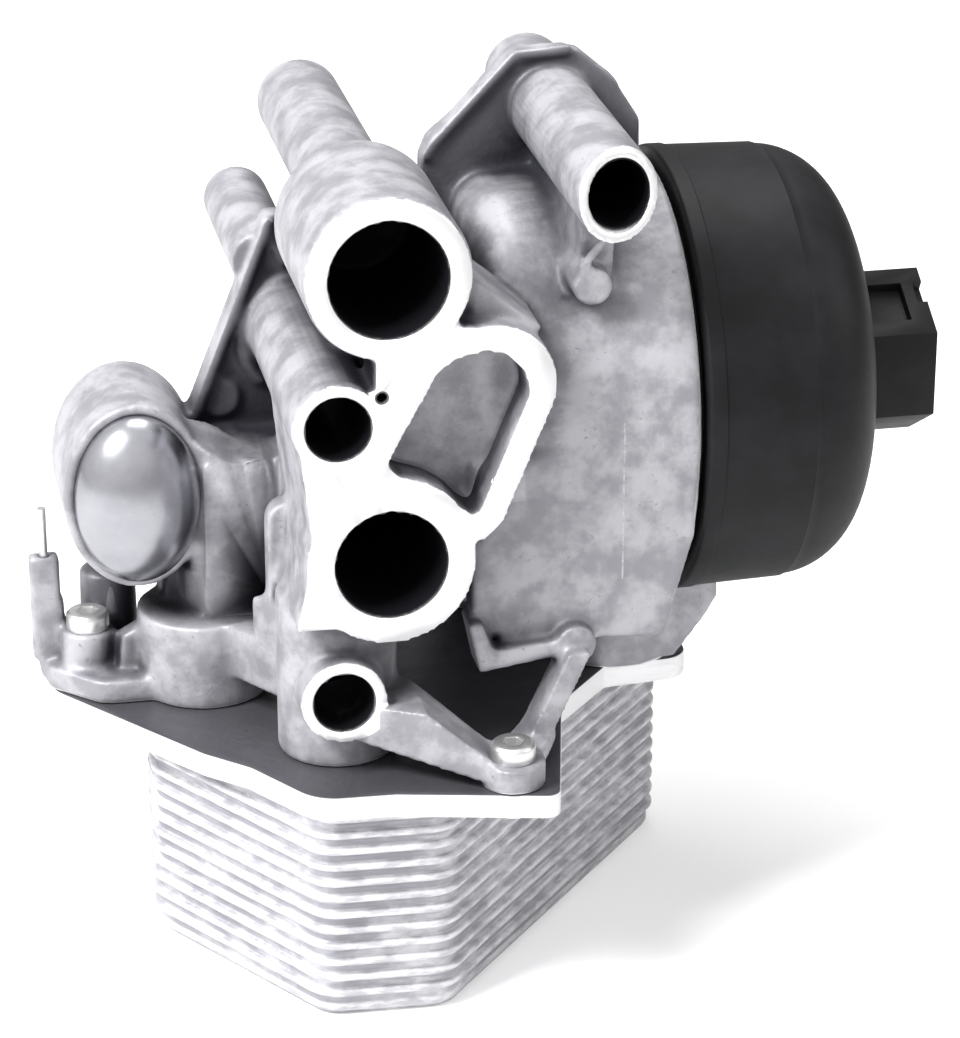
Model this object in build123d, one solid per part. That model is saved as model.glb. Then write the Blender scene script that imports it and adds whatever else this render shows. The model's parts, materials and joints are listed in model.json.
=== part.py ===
from build123d import *
import os
from math import cos, pi, radians, sin, sqrt

# Oil filter housing with a screw-on filter cap and a brazed plate cooler.
# All sizes are in millimetres.
# Frame: the origin is the centre of the upper oil port on the machined flange face.
# +X runs along the filter axis towards the cap, +Y goes away from the engine, +Z is up.

# Machined flange face, places as (x, z)
upper_port = (0.0, 0.0)
upper_port_r = 10.0
upper_ring_r = 14.0
lower_port = (0.0, -50.7)
lower_port_r = 9.5
lower_ring_r = 14.5
left_bolt = (-8.8, -25.5)
left_bolt_r = 5.5
left_bolt_ring_r = 7.7
low_bolt = (-8.5, -75.7)
low_bolt_r = 5.2
low_bolt_ring_r = 7.5
top_bolt = (38.4, 12.1)
top_bolt_r = 5.6
top_bolt_tube_r = 7.5
top_bolt_cut_angle = 24.0
kidney_wall = 4.6
kidney_lobes = [(17.4, -20.0, 6.4), (12.6, -18.2, 4.6), (12.3, -40.2, 3.4), (2.2, -32.3, 2.4)]
flange_wall_depth = 16.0
flange_side_draft = 2.0
face_lip = 1.2
cast_draft = 0.3

# Bosses that run back from the flange
upper_boss_depth = 37.0
stub_axis_rise = 3.0
stub_r = 7.8
stub_end_y = 97.0
top_tube_end_y = 76.0
top_tube_saddle_y = 11.0
saddle_width = 6.0
left_tube_end_y = 60.0
rear_boss = (-13.0, -13.5)
rear_boss_r = 6.0
rear_boss_end_y = 92.0
low_tube_end_y = 34.0
lower_boss_depth = 46.0

# Filter bowl and its cap
filter_axis_y = 45.0
filter_axis_z = -35.8
bowl_end_x = 20.0
bowl_end_wall = 5.0
bowl_mouth_r = 35.4
bowl_mouth_wall = 3.2
bowl_mouth_step = 2.4
bowl_wall = 4.0
bowl_mouth_outer_r = bowl_mouth_r + bowl_mouth_wall
bowl_inner_r = bowl_mouth_r - bowl_mouth_step
bowl_end_r = bowl_inner_r + bowl_wall
seam_x = 55.4
thread_depth = 15.0
bowl_corner = 7.0
skirt_low_z = -69.0
skirt_wall = 5.0
cap_gap = 1.0
cap_clear = 0.8
cap_overhang = 1.6
cap_r = bowl_mouth_outer_r + cap_overhang
cap_end_x = 89.8
cap_wall = 3.4
cap_shoulder = 14.0
cap_lip = 5.0
thread_clear = 0.35
sleeve_r = bowl_mouth_r - thread_clear
sleeve_wall = 3.2
hex_across_flats = 27.0
hex_length = 15.4
hex_socket_wall = 4.0
o_ring_section = 3.0

# Filter element
element_clear = 1.05
end_disc_overhang = 0.8
element_r = sleeve_r - sleeve_wall - element_clear - end_disc_overhang
element_start_x = 29.5
element_length = 44.6
end_disc = 2.2
centre_tube_r = 12.0
centre_tube_wall = 1.6
slot_row_count = 4
slot_ring_count = 6
slot_length = 7.0
pleat_count = 36
pleat_paper = 2.3
pleat_gap = 0.7
stand_pipe_r = 8.0
stand_pipe_wall = 1.5
stand_pipe_length = 30.0
stand_pipe_seat = 3.0
seal_clear = 0.3

# Valves
bypass_seat_r = 5.0
valve_turns = 5
fit_clear = 0.03
bypass_plunger_t = 2.0
bypass_boss_r = 10.5
bypass_boss_wall = 1.8
bypass_guide_clear = 0.08
bypass_wire = 1.0
check_seat_r = 4.0
check_ball_r = 5.2
check_bore_r = 5.6
check_seat_y = 42.0
check_wire = 0.9
check_spring_length = 17.0
plug_key = 6.0
plug_key_depth = 5.0
gallery_y = 51.0
gallery_r = 3.5
gallery_column_r = 6.2
cover_centre = (-38.6, -50.8)
cover_half_width = 11.2
cover_half_height = 15.6
cover_bulge = 8.5
cover_face_y = 38.0
cover_wall = 1.4
cover_skirt = 5.0
cover_boss_wall = 1.7
cover_boss_end_y = 62.0
column_r = 3.4
piston_bore_r = 9.0
piston_clear = 0.06
piston_length = 9.0
piston_seat_y = 58.0
piston_wall = 1.6
relief_wire = 1.2

# Plate cooler, plan places as (x, y)
base_z = -90.0
cooler_base_thickness = 4.5
cooler_centre = (11.0, 44.0)
stack_half_plan = [(-38.0, 24.0), (-11.0, -7.0), (13.0, -9.0), (60.0, 44.0)]
stack_corner_r = 7.0
base_margin = 3.2
plate_count = 12
plate_pitch = 3.1
plate_step = 0.9
end_plate_thickness = 2.3
ears = [(-47.5, 47.5, 7.0), (57.0, 62.0, 6.5), (19.5, -7.0, 5.6), (0.0, 95.0, 6.2)]
front_corner = [(6.0, -11.5), (24.5, -13.8), (30.0, -2.8), (41.5, 20.5), (20.0, 20.0)]
front_corner_r = 3.0
port_r = 6.0
seal_groove_r = 9.0
seal_section = 2.4
seal_wall = 2.6

# Cooler port chambers of the casting, plan places as (x, y), and their bolts
chamber_left = (-27.0, 43.0)
chamber_left_r = 12.0
chamber_front = (-7.5, 14.0)
chamber_front_r = 10.5
bolt_r = 2.5
bolt_head_r = 3.9
bolt_head_height = 3.2
bolt_socket = 3.2
lug_r = 5.6
lug_height = 4.5
lug_tops = [11.0, 6.0, 4.5, 8.0]
arm_root_z = -77.0

# Tab and locating pin at the far left
tab_width = 5.4
tab_height = 20.0
pin_r = 0.8
pin_seat = 4.0
pin_height = 9.0

# Webs at the casting's parting plane
web_y = 52.0
web_thickness = 4.5
rib_thickness = 3.0
rib_rise = 2.2


# Helpers for the three working directions

# Oil gallery block: centre and size of each of its boxes
upper_block_centre = (7.5, 48.5, -35.0)
upper_block_size = (27.0, 63.0, 42.0)
lower_block_centre = (1.0, 50.5, -58.0)
lower_block_size = (38.0, 57.0, 22.0)
neck_centre = (-22.0, 54.0, -60.0)
neck_size = (24.0, 22.0, 31.0)
upper_block_corner = 5.0
block_corner = 4.0
riser_r = 5.5
inlet_z = -18.5
chamber_top_z = -74.0
chamber_front_top_z = -60.0
chamber_right_top_z = -68.0
link_low_z = -84.0
link_top_z = -66.0

LOW = (Align.CENTER, Align.CENTER, Align.MIN)
turning_plane = Plane(origin=(0, filter_axis_y, filter_axis_z), x_dir=(1, 0, 0), z_dir=(0, -1, 0))
turning_axis = Axis((0, filter_axis_y, filter_axis_z), (1, 0, 0))


def rod_x(r, x0, x1):
    """Round bar on the filter axis."""
    return Pos(x0, filter_axis_y, filter_axis_z) * Rot(0, 90, 0) * Cylinder(r, x1 - x0, align=LOW)


def rod_y(place, r, y0, y1):
    """Round bar along Y at an (x, z) place."""
    return Pos(place[0], y0, place[1]) * Rot(-90, 0, 0) * Cylinder(r, y1 - y0, align=LOW)


def rod_z(place, r, z0, z1):
    """Upright round bar at an (x, y) place."""
    return Pos(place[0], place[1], z0) * Cylinder(r, z1 - z0, align=LOW)


def along_y(sketch, y0, y1, taper=0.0):
    """Sketch drawn as (x, z), pushed back from y0 to y1."""
    return extrude(Plane.XZ.offset(-y0) * sketch, y1 - y0, dir=(0, 1, 0), taper=taper)


def along_z(sketch, z0, z1, taper=0.0):
    """Plan sketch drawn as (x, y), raised from z0 to z1."""
    return extrude(Plane.XY.offset(z0) * sketch, z1 - z0, dir=(0, 0, 1), taper=taper)


def turned(points):
    """Solid turned about the filter axis from (x, radius) points."""
    return revolve(turning_plane * make_face(Polyline(*points, close=True)), turning_axis)


def disc(x, y, r):
    return Pos(x, y) * Circle(r)


def area(points):
    return make_face(Polyline(*points, close=True))


def hull_of(circles):
    """Outline drawn tightly round a few circles, each (x, y, radius)."""
    edges = []
    for x, y, r in circles:
        edges += disc(x, y, r).edges()
    return make_hull(edges)


def grown(circles, amount):
    return [(x, y, r + amount) for x, y, r in circles]


def mirrored(place):
    """The point opposite a plan place, through the cooler's centre."""
    return (2 * cooler_centre[0] - place[0], 2 * cooler_centre[1] - place[1])


def coil(wire, r, length, turns):
    """Compression spring standing on +Z from z = 0, with its wire's centre line on radius r."""
    pitch = (length - wire) / turns
    path = Pos(0, 0, wire / 2) * Helix(pitch, pitch * turns, r)
    start = Plane(origin=path @ 0, z_dir=path % 0)
    return sweep(start * RegularPolygon(wire / 2, 5), path=path)


# Places worked out from the sizes above

chamber_right = mirrored(chamber_left)
chamber_rear = mirrored(chamber_front)
bolt_places = [(ear_x, ear_y) for ear_x, ear_y, ear_r in ears]
tab_place = (bolt_places[0][0] - tab_width / 2 - bolt_head_r - 0.6, bolt_places[0][1] + 3.0)
tab_top_z = base_z + lug_height + tab_height
element_end_x = element_start_x + element_length
stub_axis = (upper_port[0], upper_port[1] + stub_axis_rise)
base_bottom_z = base_z - cooler_base_thickness
bowl_floor_x = bowl_end_x + bowl_end_wall


# Casting

def flange_outline():
    """Machined face: port rings, the left bolt ring and the wall round the kidney pocket."""
    face = disc(*upper_port, upper_ring_r) + disc(*lower_port, lower_ring_r)
    face += disc(*left_bolt, left_bolt_ring_r)
    right_lobe, high_lobe, low_lobe, left_lobe = kidney_lobes
    face += hull_of(grown([right_lobe, low_lobe], kidney_wall))
    face += hull_of(grown([high_lobe, left_lobe], kidney_wall))
    face += hull_of([(*left_bolt, left_bolt_ring_r), (left_lobe[0], left_lobe[1], 5.0)])
    left_x = left_bolt[0] - left_bolt_ring_r
    left_side = [
        (left_x + 1.0, left_bolt[1] - 3.0),
        (left_x + 3.2, lower_port[1] + 3.0),
        (left_x, lower_port[1] - 11.0),
        (lower_port[0] - 8.0, lower_port[1] - 11.5),
        (lower_port[0], left_bolt[1] - 5.0),
    ]
    return face + area(left_side)


def flange_block():
    """Flange wall with its pocket and notch, and the side that widens towards the core."""
    wall = along_y(flange_outline(), 0, flange_wall_depth)
    left_x = left_bolt[0] - left_bolt_ring_r
    side = area([
        (left_x + 1.5, left_bolt[1] - 2.0),
        (left_x + 3.4, lower_port[1] + 3.0),
        (left_x + 0.4, lower_port[1] - 10.6),
        (lower_port[0], lower_port[1] - 10.6),
        (lower_port[0], left_bolt[1] - 2.0),
    ])
    wall += along_y(side, 0.4, 30, taper=-flange_side_draft)
    pocket = hull_of(kidney_lobes)
    return wall - along_y(pocket, -1, flange_wall_depth)


def port_bosses():
    """Round bosses behind the ports and the bolt holes."""
    body = rod_y(upper_port, upper_ring_r + cast_draft, face_lip, upper_boss_depth)
    rear_rim = body.edges().filter_by(GeomType.CIRCLE).sort_by(Axis.Y)[-1]
    body = fillet(rear_rim, 6.0)
    stub = rod_y(stub_axis, stub_r, upper_boss_depth - 5, stub_end_y)
    stub = fillet(stub.edges().filter_by(GeomType.CIRCLE).sort_by(Axis.Y)[-1], 2.5)
    body += stub
    body += rod_z((stub_axis[0], gallery_y), gallery_column_r, -20, stub_axis[1])
    body += rod_y(left_bolt, left_bolt_ring_r + cast_draft, face_lip, left_tube_end_y)
    rear = rod_y(rear_boss, rear_boss_r, web_y, rear_boss_end_y)
    body += fillet(rear.edges().filter_by(GeomType.CIRCLE).sort_by(Axis.Y)[-1], 2.5)
    body += rod_y(lower_port, lower_ring_r + cast_draft, face_lip, lower_boss_depth)
    body += rod_y(low_bolt, low_bolt_ring_r, 0, low_tube_end_y)
    return body


def top_bolt_tube():
    """Long tube for the upper right bolt, on its saddle over the bowl, with an oblique mouth."""
    tube = rod_y(top_bolt, top_bolt_tube_r, 0, top_tube_end_y)
    tube = fillet(tube.edges().filter_by(GeomType.CIRCLE).sort_by(Axis.Y)[-1], 2.5)
    saddle = area([
        (top_tube_saddle_y, top_bolt[1]),
        (top_tube_end_y - 5, top_bolt[1]),
        (top_tube_end_y - 12, filter_axis_z + 24),
        (top_tube_saddle_y + 6, filter_axis_z + 24),
    ])
    side = Plane(origin=(top_bolt[0] - saddle_width / 2, 0, 0), x_dir=(0, 1, 0), z_dir=(1, 0, 0))
    tube += extrude(side * saddle, saddle_width, dir=(1, 0, 0))
    mouth = Pos(top_bolt[0], 0, top_bolt[1]) * Rot(0, 0, top_bolt_cut_angle) * Pos(0, -10, 0) * Box(60, 20, 40)
    return tube - mouth


def bowl_body():
    """Filter bowl: a turned cup, its flat front skirt and the ledge under the skirt."""
    cup = turned([
        (bowl_end_x, 0),
        (bowl_end_x, bowl_end_r),
        (seam_x, bowl_mouth_outer_r),
        (seam_x, 0),
    ])
    end_rim = cup.edges().filter_by(GeomType.CIRCLE).sort_by(Axis.X)[0]
    cup = fillet(end_rim, bowl_corner)
    front_y = filter_axis_y - bowl_end_r - 0.8
    skirt = area([
        (bowl_end_x - 5, filter_axis_z),
        (seam_x - 0.6, filter_axis_z),
        (seam_x - 0.6, filter_axis_z - 17),
        (seam_x - 6, skirt_low_z - 3),
        (bowl_end_x - 5, skirt_low_z),
    ])
    cup += along_y(skirt, front_y, front_y + skirt_wall)
    ledge = area([
        (bowl_end_x - 6, skirt_low_z + 4),
        (bowl_end_x - 3.5, skirt_low_z + 4),
        (bowl_end_x - 1.5, skirt_low_z - 1.5),
        (bowl_end_x + 10, skirt_low_z - 0.5),
        (bowl_end_x + 10, skirt_low_z - 3.5),
        (bowl_end_x - 4, skirt_low_z - 5.5),
    ])
    return cup + along_y(ledge, front_y - 3.2, front_y + skirt_wall)


def core_block():
    """Oil gallery block between the ports, the bowl and the cooler chambers."""
    upper = Pos(*upper_block_centre) * Box(*upper_block_size)
    core = fillet(upper.edges().filter_by(Axis.Y), upper_block_corner)
    lower = Pos(*lower_block_centre) * Box(*lower_block_size)
    core += fillet(lower.edges().filter_by(Axis.Y), block_corner)
    neck = Pos(*neck_centre) * Box(*neck_size)
    core += fillet(neck.edges().filter_by(Axis.Z), block_corner)
    facet = area([(12, 0), (15.8, -2.8), (27, -11.8), (14, -16)])
    core += along_y(facet, 4, 22)
    return core


def cooler_chambers():
    """Upright round chambers that end on the cooler, and the gallery block's foot on them."""
    body = rod_z(chamber_left, chamber_left_r, base_z, chamber_top_z)
    body += rod_z(chamber_front, chamber_front_r, base_z, chamber_front_top_z)
    body += rod_z(chamber_right, chamber_left_r, base_z, chamber_right_top_z)
    body += rod_z(chamber_rear, chamber_front_r, base_z, chamber_front_top_z)
    link = hull_of([(*chamber_left, 4.0), (*chamber_front, 4.0)])
    body += along_z(link, link_low_z, link_top_z)
    back = hull_of([(*chamber_rear, 5.0), (*chamber_right, 5.0)])
    return body + along_z(back, link_low_z, link_top_z)


def base_lugs():
    """Feet that take the cooler bolts, with the arm and the strut at the front right."""
    left, right, front, rear = bolt_places
    lobes = [(left[0] - 3, left[1], lug_r - 0.8), (left[0] + 3, left[1] - 6, lug_r - 0.8)]
    foot = hull_of(lobes + [(*chamber_left, 7.0)])
    body = along_z(foot, base_z, base_z + lug_height)
    body += rod_z(left, lug_r - 0.6, base_z, base_z + lug_tops[0])
    body += along_z(hull_of([(*right, lug_r), (*chamber_right, 9.0)]), base_z, base_z + lug_tops[1])
    body += along_z(hull_of([(*rear, lug_r), (*chamber_rear, 7.0)]), base_z, base_z + lug_tops[3])
    front_top = base_z + lug_tops[2]
    arm_plan = hull_of([(*front, lug_r - 0.6), (chamber_front[0] + 5, chamber_front[1] - 7, 7.0)])
    arm_side = area([
        (chamber_front[0] - 2, arm_root_z - 6),
        (chamber_front[0] - 2, arm_root_z),
        (lower_port[0] + 5, arm_root_z),
        (front[0] - 3, front_top),
        (front[0] + lug_r, front_top),
        (front[0] + lug_r, base_z + 1.5),
        (front[0] - lug_r, base_z + 1.5),
    ])
    body += along_z(arm_plan, base_z, arm_root_z) & along_y(arm_side, -20, 30)
    body += rod_z(front, lug_r, base_z, front_top)
    strut_low = (front[0] + 5.5, front_top + 0.5)
    strut_high = (front[0] + 13.5, skirt_low_z - 1.5)
    strut = area([
        (strut_low[0] - 2, strut_low[1] - 3), (strut_low[0] + 2, strut_low[1] - 3),
        (strut_high[0] + 2, strut_high[1]), (strut_high[0] - 2, strut_high[1]),
    ])
    body += along_y(strut, 0.5, 8.0)
    root = hull_of([(*front, 4.5), (strut_low[0] + 1, 4.5, 3.5)])
    body += along_z(root, base_z + 1.5, front_top)
    return body + rod_y(strut_high, 3.6, 3.5, 12.0)


def parting_webs():
    """Thin webs at the parting plane, each with a raised rim towards the engine."""
    back = web_y + web_thickness
    right = [
        (15.0, 4.0), (16.5, 7.5), (34.0, 22.0), (43.5, 22.0),
        (50.5, 16.0), (seam_x - 0.5, 4.5), (seam_x - 0.5, -10.0), (15.0, -14.0),
    ]
    body = along_y(area(right), web_y, back)
    left = [(-13.0, -4.5), (-29.0, -44.5), (-6.5, -46.5), (-6.5, -20.0), (-9.5, -4.5)]
    web = along_y(area(left), web_y, back)
    rim = area([(-13.0, -4.5), (-29.0, -44.5), (-26.9, -44.5), (-11.4, -5.6)])
    web += along_y(rim, web_y - rib_rise, web_y)
    web += rod_y((-21.9, -38.2), 3.4, web_y - 0.6, web_y)
    ledge = area([(-29.0, web_y - 4), (-14.0, web_y - 22), (-8.0, web_y - 22), (-8.0, back), (-29.0, back)])
    web += along_z(ledge, -47.5, -44.5)
    return body + web


def cover_boss():
    """Oval boss that holds the domed cover, and the columns beside it."""
    outline = Pos(*cover_centre) * Ellipse(cover_half_width + cover_boss_wall, cover_half_height + cover_boss_wall)
    body = along_y(outline, cover_face_y, cover_boss_end_y)
    column_x = cover_centre[0] + cover_half_width + column_r + 0.3
    body += rod_z((column_x, cover_face_y - 2.5), column_r, -78, -45)
    body += rod_z((column_x + 5.6, cover_face_y - 6), column_r + 0.4, -78, -45)
    return body


def left_tab():
    """Small upright tab at the far left that carries the locating pin."""
    left = bolt_places[0]
    tab_low_z = tab_top_z - tab_height
    tab = Pos(tab_place[0], tab_place[1], tab_low_z) * Box(tab_width, 3.6, tab_height, align=LOW)
    tab += Pos(tab_place[0] + 0.6, tab_place[1] + 0.6, tab_low_z) * Box(tab_width, 4.6, tab_height * 0.55, align=LOW)
    shelf = Pos(left[0] - 4.0, tab_place[1] + 0.8, base_z + 1) * Box(tab_width + 4, 5.6, tab_low_z - base_z + 3, align=LOW)
    return tab + shelf


def bores():
    """Everything that is drilled or cored out of the casting."""
    cut = rod_y(upper_port, upper_port_r, -1, check_seat_y - 5)
    cut += rod_y(stub_axis, check_seat_r, 0, check_seat_y + 1)
    cut += rod_y(stub_axis, check_bore_r, check_seat_y, stub_end_y + 1)
    cut += rod_y(lower_port, lower_port_r, -1, lower_boss_depth - 6)
    cut += rod_y(left_bolt, left_bolt_r, -1, left_tube_end_y + 1)
    cut += rod_y(low_bolt, low_bolt_r, -1, low_tube_end_y + 1)
    cut += rod_y(top_bolt, top_bolt_r, -1, top_tube_end_y + 1)
    cut += rod_y(rear_boss, 2.6, rear_boss_end_y - 14, rear_boss_end_y + 1)
    groove_x = seam_x - thread_depth
    cut += turned([
        (bowl_floor_x, 0),
        (bowl_floor_x, bowl_inner_r),
        (groove_x - 2.6, bowl_inner_r),
        (groove_x, bowl_mouth_r),
        (seam_x + 1, bowl_mouth_r),
        (seam_x + 1, 0),
    ])
    cut += rod_x(stand_pipe_r - stand_pipe_wall, bowl_end_x - 14, bowl_floor_x + 1)
    cut += rod_x(stand_pipe_r + fit_clear, bowl_floor_x - stand_pipe_seat, bowl_floor_x + 1)
    cut += rod_z((bowl_end_x - 8, filter_axis_y), riser_r, lower_block_centre[2], filter_axis_z)
    cut += rod_z((stub_axis[0], gallery_y), gallery_r, -22, stub_axis[1])
    inlet = Pos(stub_axis[0], gallery_y, inlet_z) * Rot(0, 90, 0)
    cut += inlet * Cylinder(gallery_r, bowl_floor_x + 2, align=LOW)
    oval = Pos(*cover_centre) * Ellipse(cover_half_width - 0.2, cover_half_height - 0.2)
    cut += along_y(oval, cover_face_y - 1, cover_face_y + cover_skirt + 0.6)
    cut += rod_y(cover_centre, piston_bore_r, cover_face_y, piston_seat_y)
    cut += rod_y(cover_centre, piston_bore_r - 3.2, piston_seat_y - 1, cover_boss_end_y - 2)
    for place in (chamber_left, chamber_front, chamber_right, chamber_rear):
        cut += rod_z(place, port_r, base_z - 1, base_z + 14)
        cut += rod_z(place, seal_groove_r, base_z - 1, base_z + seal_section)
    for place, lug_top in zip(bolt_places, lug_tops):
        cut += rod_z(place, bolt_r + 0.3, base_z - 1, base_z + lug_top + 1)
        cut += rod_z(place, bolt_head_r + 0.6, base_z + lug_top, base_z + lug_top + 2 * bolt_head_height)
    cut += rod_x(cap_r + cap_clear, seam_x, cap_end_x)
    return cut + rod_z(tab_place, pin_r + fit_clear, tab_top_z - pin_seat, tab_top_z + 1)


def housing():
    body = core_block() + flange_block() + port_bosses()
    body += bowl_body() + top_bolt_tube()
    body += cooler_chambers() + base_lugs() + parting_webs()
    body += cover_boss() + left_tab()
    ejector = (top_bolt[0] - 1.5, -7.5)
    body += rod_y(ejector, 3.4, 10.5, 24)
    return body - bores()


# Cap and its seal

cap_start_x = seam_x + cap_gap
sleeve_start_x = seam_x - thread_depth + 1.0
groove_width = o_ring_section + 0.6
groove_floor_r = sleeve_r - o_ring_section + 0.4
groove_start_x = sleeve_start_x + 1.8
bypass_boss_start_x = element_end_x + 0.4
cap_inner_x = cap_end_x - cap_wall


def cap():
    """Moulded cap: domed shell, threaded sleeve, hexagon with core pockets and the valve boss."""
    shell = turned([
        (cap_start_x, 0),
        (cap_start_x, cap_r),
        (cap_start_x + cap_lip, cap_r),
        (cap_end_x, cap_r - 1.0),
        (cap_end_x, 0),
    ])
    rims = shell.edges().filter_by(GeomType.CIRCLE).sort_by(Axis.X)
    shell = fillet(rims[-1], cap_shoulder)
    hollow = turned([
        (cap_start_x - 1, 0),
        (cap_start_x - 1, sleeve_r - sleeve_wall),
        (cap_end_x - cap_shoulder, cap_r - cap_wall - 3.5),
        (cap_inner_x, cap_r - cap_shoulder - 2.0),
        (cap_inner_x, 0),
    ])
    body = shell + rod_x(sleeve_r, sleeve_start_x, cap_start_x + 1.0)
    body -= hollow + rod_x(sleeve_r - sleeve_wall, sleeve_start_x - 1, cap_start_x)
    body -= rod_x(cap_r, groove_start_x, groove_start_x + groove_width) - rod_x(
        groove_floor_r, groove_start_x - 1, groove_start_x + groove_width + 1)
    boss = rod_x(bypass_boss_r, bypass_boss_start_x, cap_inner_x + 1)
    body += boss - rod_x(bypass_boss_r - bypass_boss_wall, bypass_boss_start_x - 1, cap_inner_x)
    hexagon = extrude(
        Plane(origin=(cap_end_x - 3, filter_axis_y, filter_axis_z), x_dir=(0, 1, 0), z_dir=(1, 0, 0))
        * RegularPolygon(hex_across_flats / 2, 6, major_radius=False, rotation=30),
        hex_length + 3,
    )
    return body + hexagon - hex_pockets()


def hex_pockets():
    """Pockets cored out of the hexagon: one in its end, two in its upper front face."""
    end_x = cap_end_x + hex_length
    core = rod_x(hex_across_flats / 2 - hex_socket_wall, end_x - 9, end_x + 1)
    half = hex_across_flats / 2
    frame = Pos(0, filter_axis_y, filter_axis_z) * Rot(-60, 0, 0)
    window = frame * Pos(cap_end_x + 7.4, -half, 0) * Box(8.0, 4.0, 8.6)
    notch = frame * Pos(end_x, -half, 2.0) * Box(3.6, 4.0, 4.6)
    return core + window + notch


def cap_o_ring():
    """Square-shouldered seal ring in the groove near the sleeve's end."""
    inner_r = groove_floor_r + fit_clear
    outer_r = bowl_mouth_r - fit_clear
    centre = Pos(groove_start_x + groove_width / 2, (inner_r + outer_r) / 2)
    section = Rectangle(o_ring_section, outer_r - inner_r)
    section = chamfer(section.vertices(), 0.8)
    return revolve(turning_plane * centre * section, turning_axis)


# Filter element

def pleats():
    """Folded paper: a closed zigzag band of constant fold depth."""
    valley_r = centre_tube_r + pleat_gap + pleat_paper
    outer, inner = [], []
    for i in range(2 * pleat_count):
        angle = i * pi / pleat_count
        r = element_r if i % 2 == 0 else valley_r
        outer.append((r * cos(angle), r * sin(angle)))
        inner.append(((r - pleat_paper) * cos(angle), (r - pleat_paper) * sin(angle)))
    band = area(outer) - area(inner)
    start = element_start_x + end_disc
    plane = Plane(origin=(start, filter_axis_y, filter_axis_z), x_dir=(0, 1, 0), z_dir=(1, 0, 0))
    return extrude(plane * band, element_length - 2 * end_disc)


def centre_tube():
    """Perforated support tube inside the pleats."""
    start, end = element_start_x + end_disc, element_end_x - end_disc
    tube = rod_x(centre_tube_r, start, end) - rod_x(centre_tube_r - centre_tube_wall, start - 1, end + 1)
    step = (end - start) / slot_row_count
    for row in range(slot_row_count):
        for column in range(slot_ring_count):
            place = Pos(start + (row + 0.5) * step, filter_axis_y, filter_axis_z)
            turn = Rot(360 / slot_ring_count * (column + 0.5 * (row % 2)), 0, 0)
            tube -= place * turn * Pos(0, 0, centre_tube_r) * Box(slot_length, 4.0, 6.0)
    return tube


def inner_end_disc():
    """End disc on the bowl's side, with the pocket for the pipe seal."""
    disc_body = rod_x(element_r + end_disc_overhang, element_start_x, element_start_x + end_disc)
    disc_body += rod_x(stand_pipe_r + 3.4, element_start_x - 2.6, element_start_x + 0.1)
    disc_body -= rod_x(stand_pipe_r + 1.2, element_start_x - 3, element_start_x + end_disc + 1)
    return disc_body


def element_seal():
    """Rubber ring that slides on the stand pipe."""
    start, end = element_start_x - 2.2, element_start_x + end_disc - 0.2
    ring = rod_x(stand_pipe_r + 1.2 - fit_clear, start, end) - rod_x(stand_pipe_r + 0.05, start - 1, end + 1)
    return ring


def outer_end_disc():
    """End disc on the cap's side, with the clip collar round the cap's valve boss."""
    start, end = element_end_x - end_disc, element_end_x
    disc_body = rod_x(element_r + end_disc_overhang, start, end) - rod_x(bypass_seat_r, start - 1, end + 1)
    collar = rod_x(bypass_boss_r + 2.2, end - 0.1, end + 5.5) - rod_x(bypass_boss_r + seal_clear, end - 1, end + 6)
    for turn in range(4):
        slot = Pos(end + 3.6, filter_axis_y, filter_axis_z) * Rot(90 * turn + 45, 0, 0)
        collar -= slot * Pos(0, 0, bypass_boss_r + 1) * Box(4.4, 2.4, 6)
    return disc_body + collar


def stand_pipe():
    """Pipe pressed into the bowl's floor, which the element slides on."""
    start = bowl_floor_x - stand_pipe_seat
    end = start + stand_pipe_length
    pipe = rod_x(stand_pipe_r, start, end)
    pipe = chamfer(pipe.edges().filter_by(GeomType.CIRCLE).sort_by(Axis.X)[-1], 1.0)
    pipe -= rod_x(stand_pipe_r - stand_pipe_wall, start - 1, end + 1)
    for turn in range(4):
        slot = Pos(end - 10, filter_axis_y, filter_axis_z) * Rot(90 * turn, 0, 0)
        pipe -= slot * Pos(0, 0, stand_pipe_r) * Box(8, 4, 6)
    return pipe


# Valves

def bypass_plunger():
    """Notched disc that closes the element's centre from the cap's side."""
    start = element_end_x + fit_clear
    body = rod_x(bypass_boss_r - bypass_boss_wall - bypass_guide_clear, start, start + 2.0)
    body += rod_x(bypass_seat_r - 1.0, start - 1.2, start + 4.0)
    for turn in range(4):
        notch = Pos(start + 1, filter_axis_y, filter_axis_z) * Rot(90 * turn, 0, 0)
        body -= notch * Pos(0, 0, bypass_boss_r - bypass_boss_wall) * Box(6, 3.6, 3.0)
    return body


def bypass_spring():
    start = element_end_x + fit_clear + bypass_plunger_t
    length = cap_inner_x - start - 2 * fit_clear
    spring = coil(bypass_wire, bypass_seat_r + 0.5, length, valve_turns)
    return Pos(start + fit_clear, filter_axis_y, filter_axis_z) * Rot(0, 90, 0) * spring


check_centre_y = check_seat_y + sqrt(check_ball_r ** 2 - check_seat_r ** 2) + fit_clear
check_spring_start_y = check_centre_y + sqrt(check_ball_r ** 2 - (check_seat_r - check_wire) ** 2) + fit_clear
check_plug_y = check_spring_start_y + check_spring_length + 2 * fit_clear


def check_ball():
    return Pos(stub_axis[0], check_centre_y, stub_axis[1]) * Sphere(check_ball_r)


def check_spring():
    spring = coil(check_wire, check_seat_r - 0.4, check_spring_length, valve_turns + 1)
    return Pos(stub_axis[0], check_spring_start_y + fit_clear, stub_axis[1]) * Rot(-90, 0, 0) * spring


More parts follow.
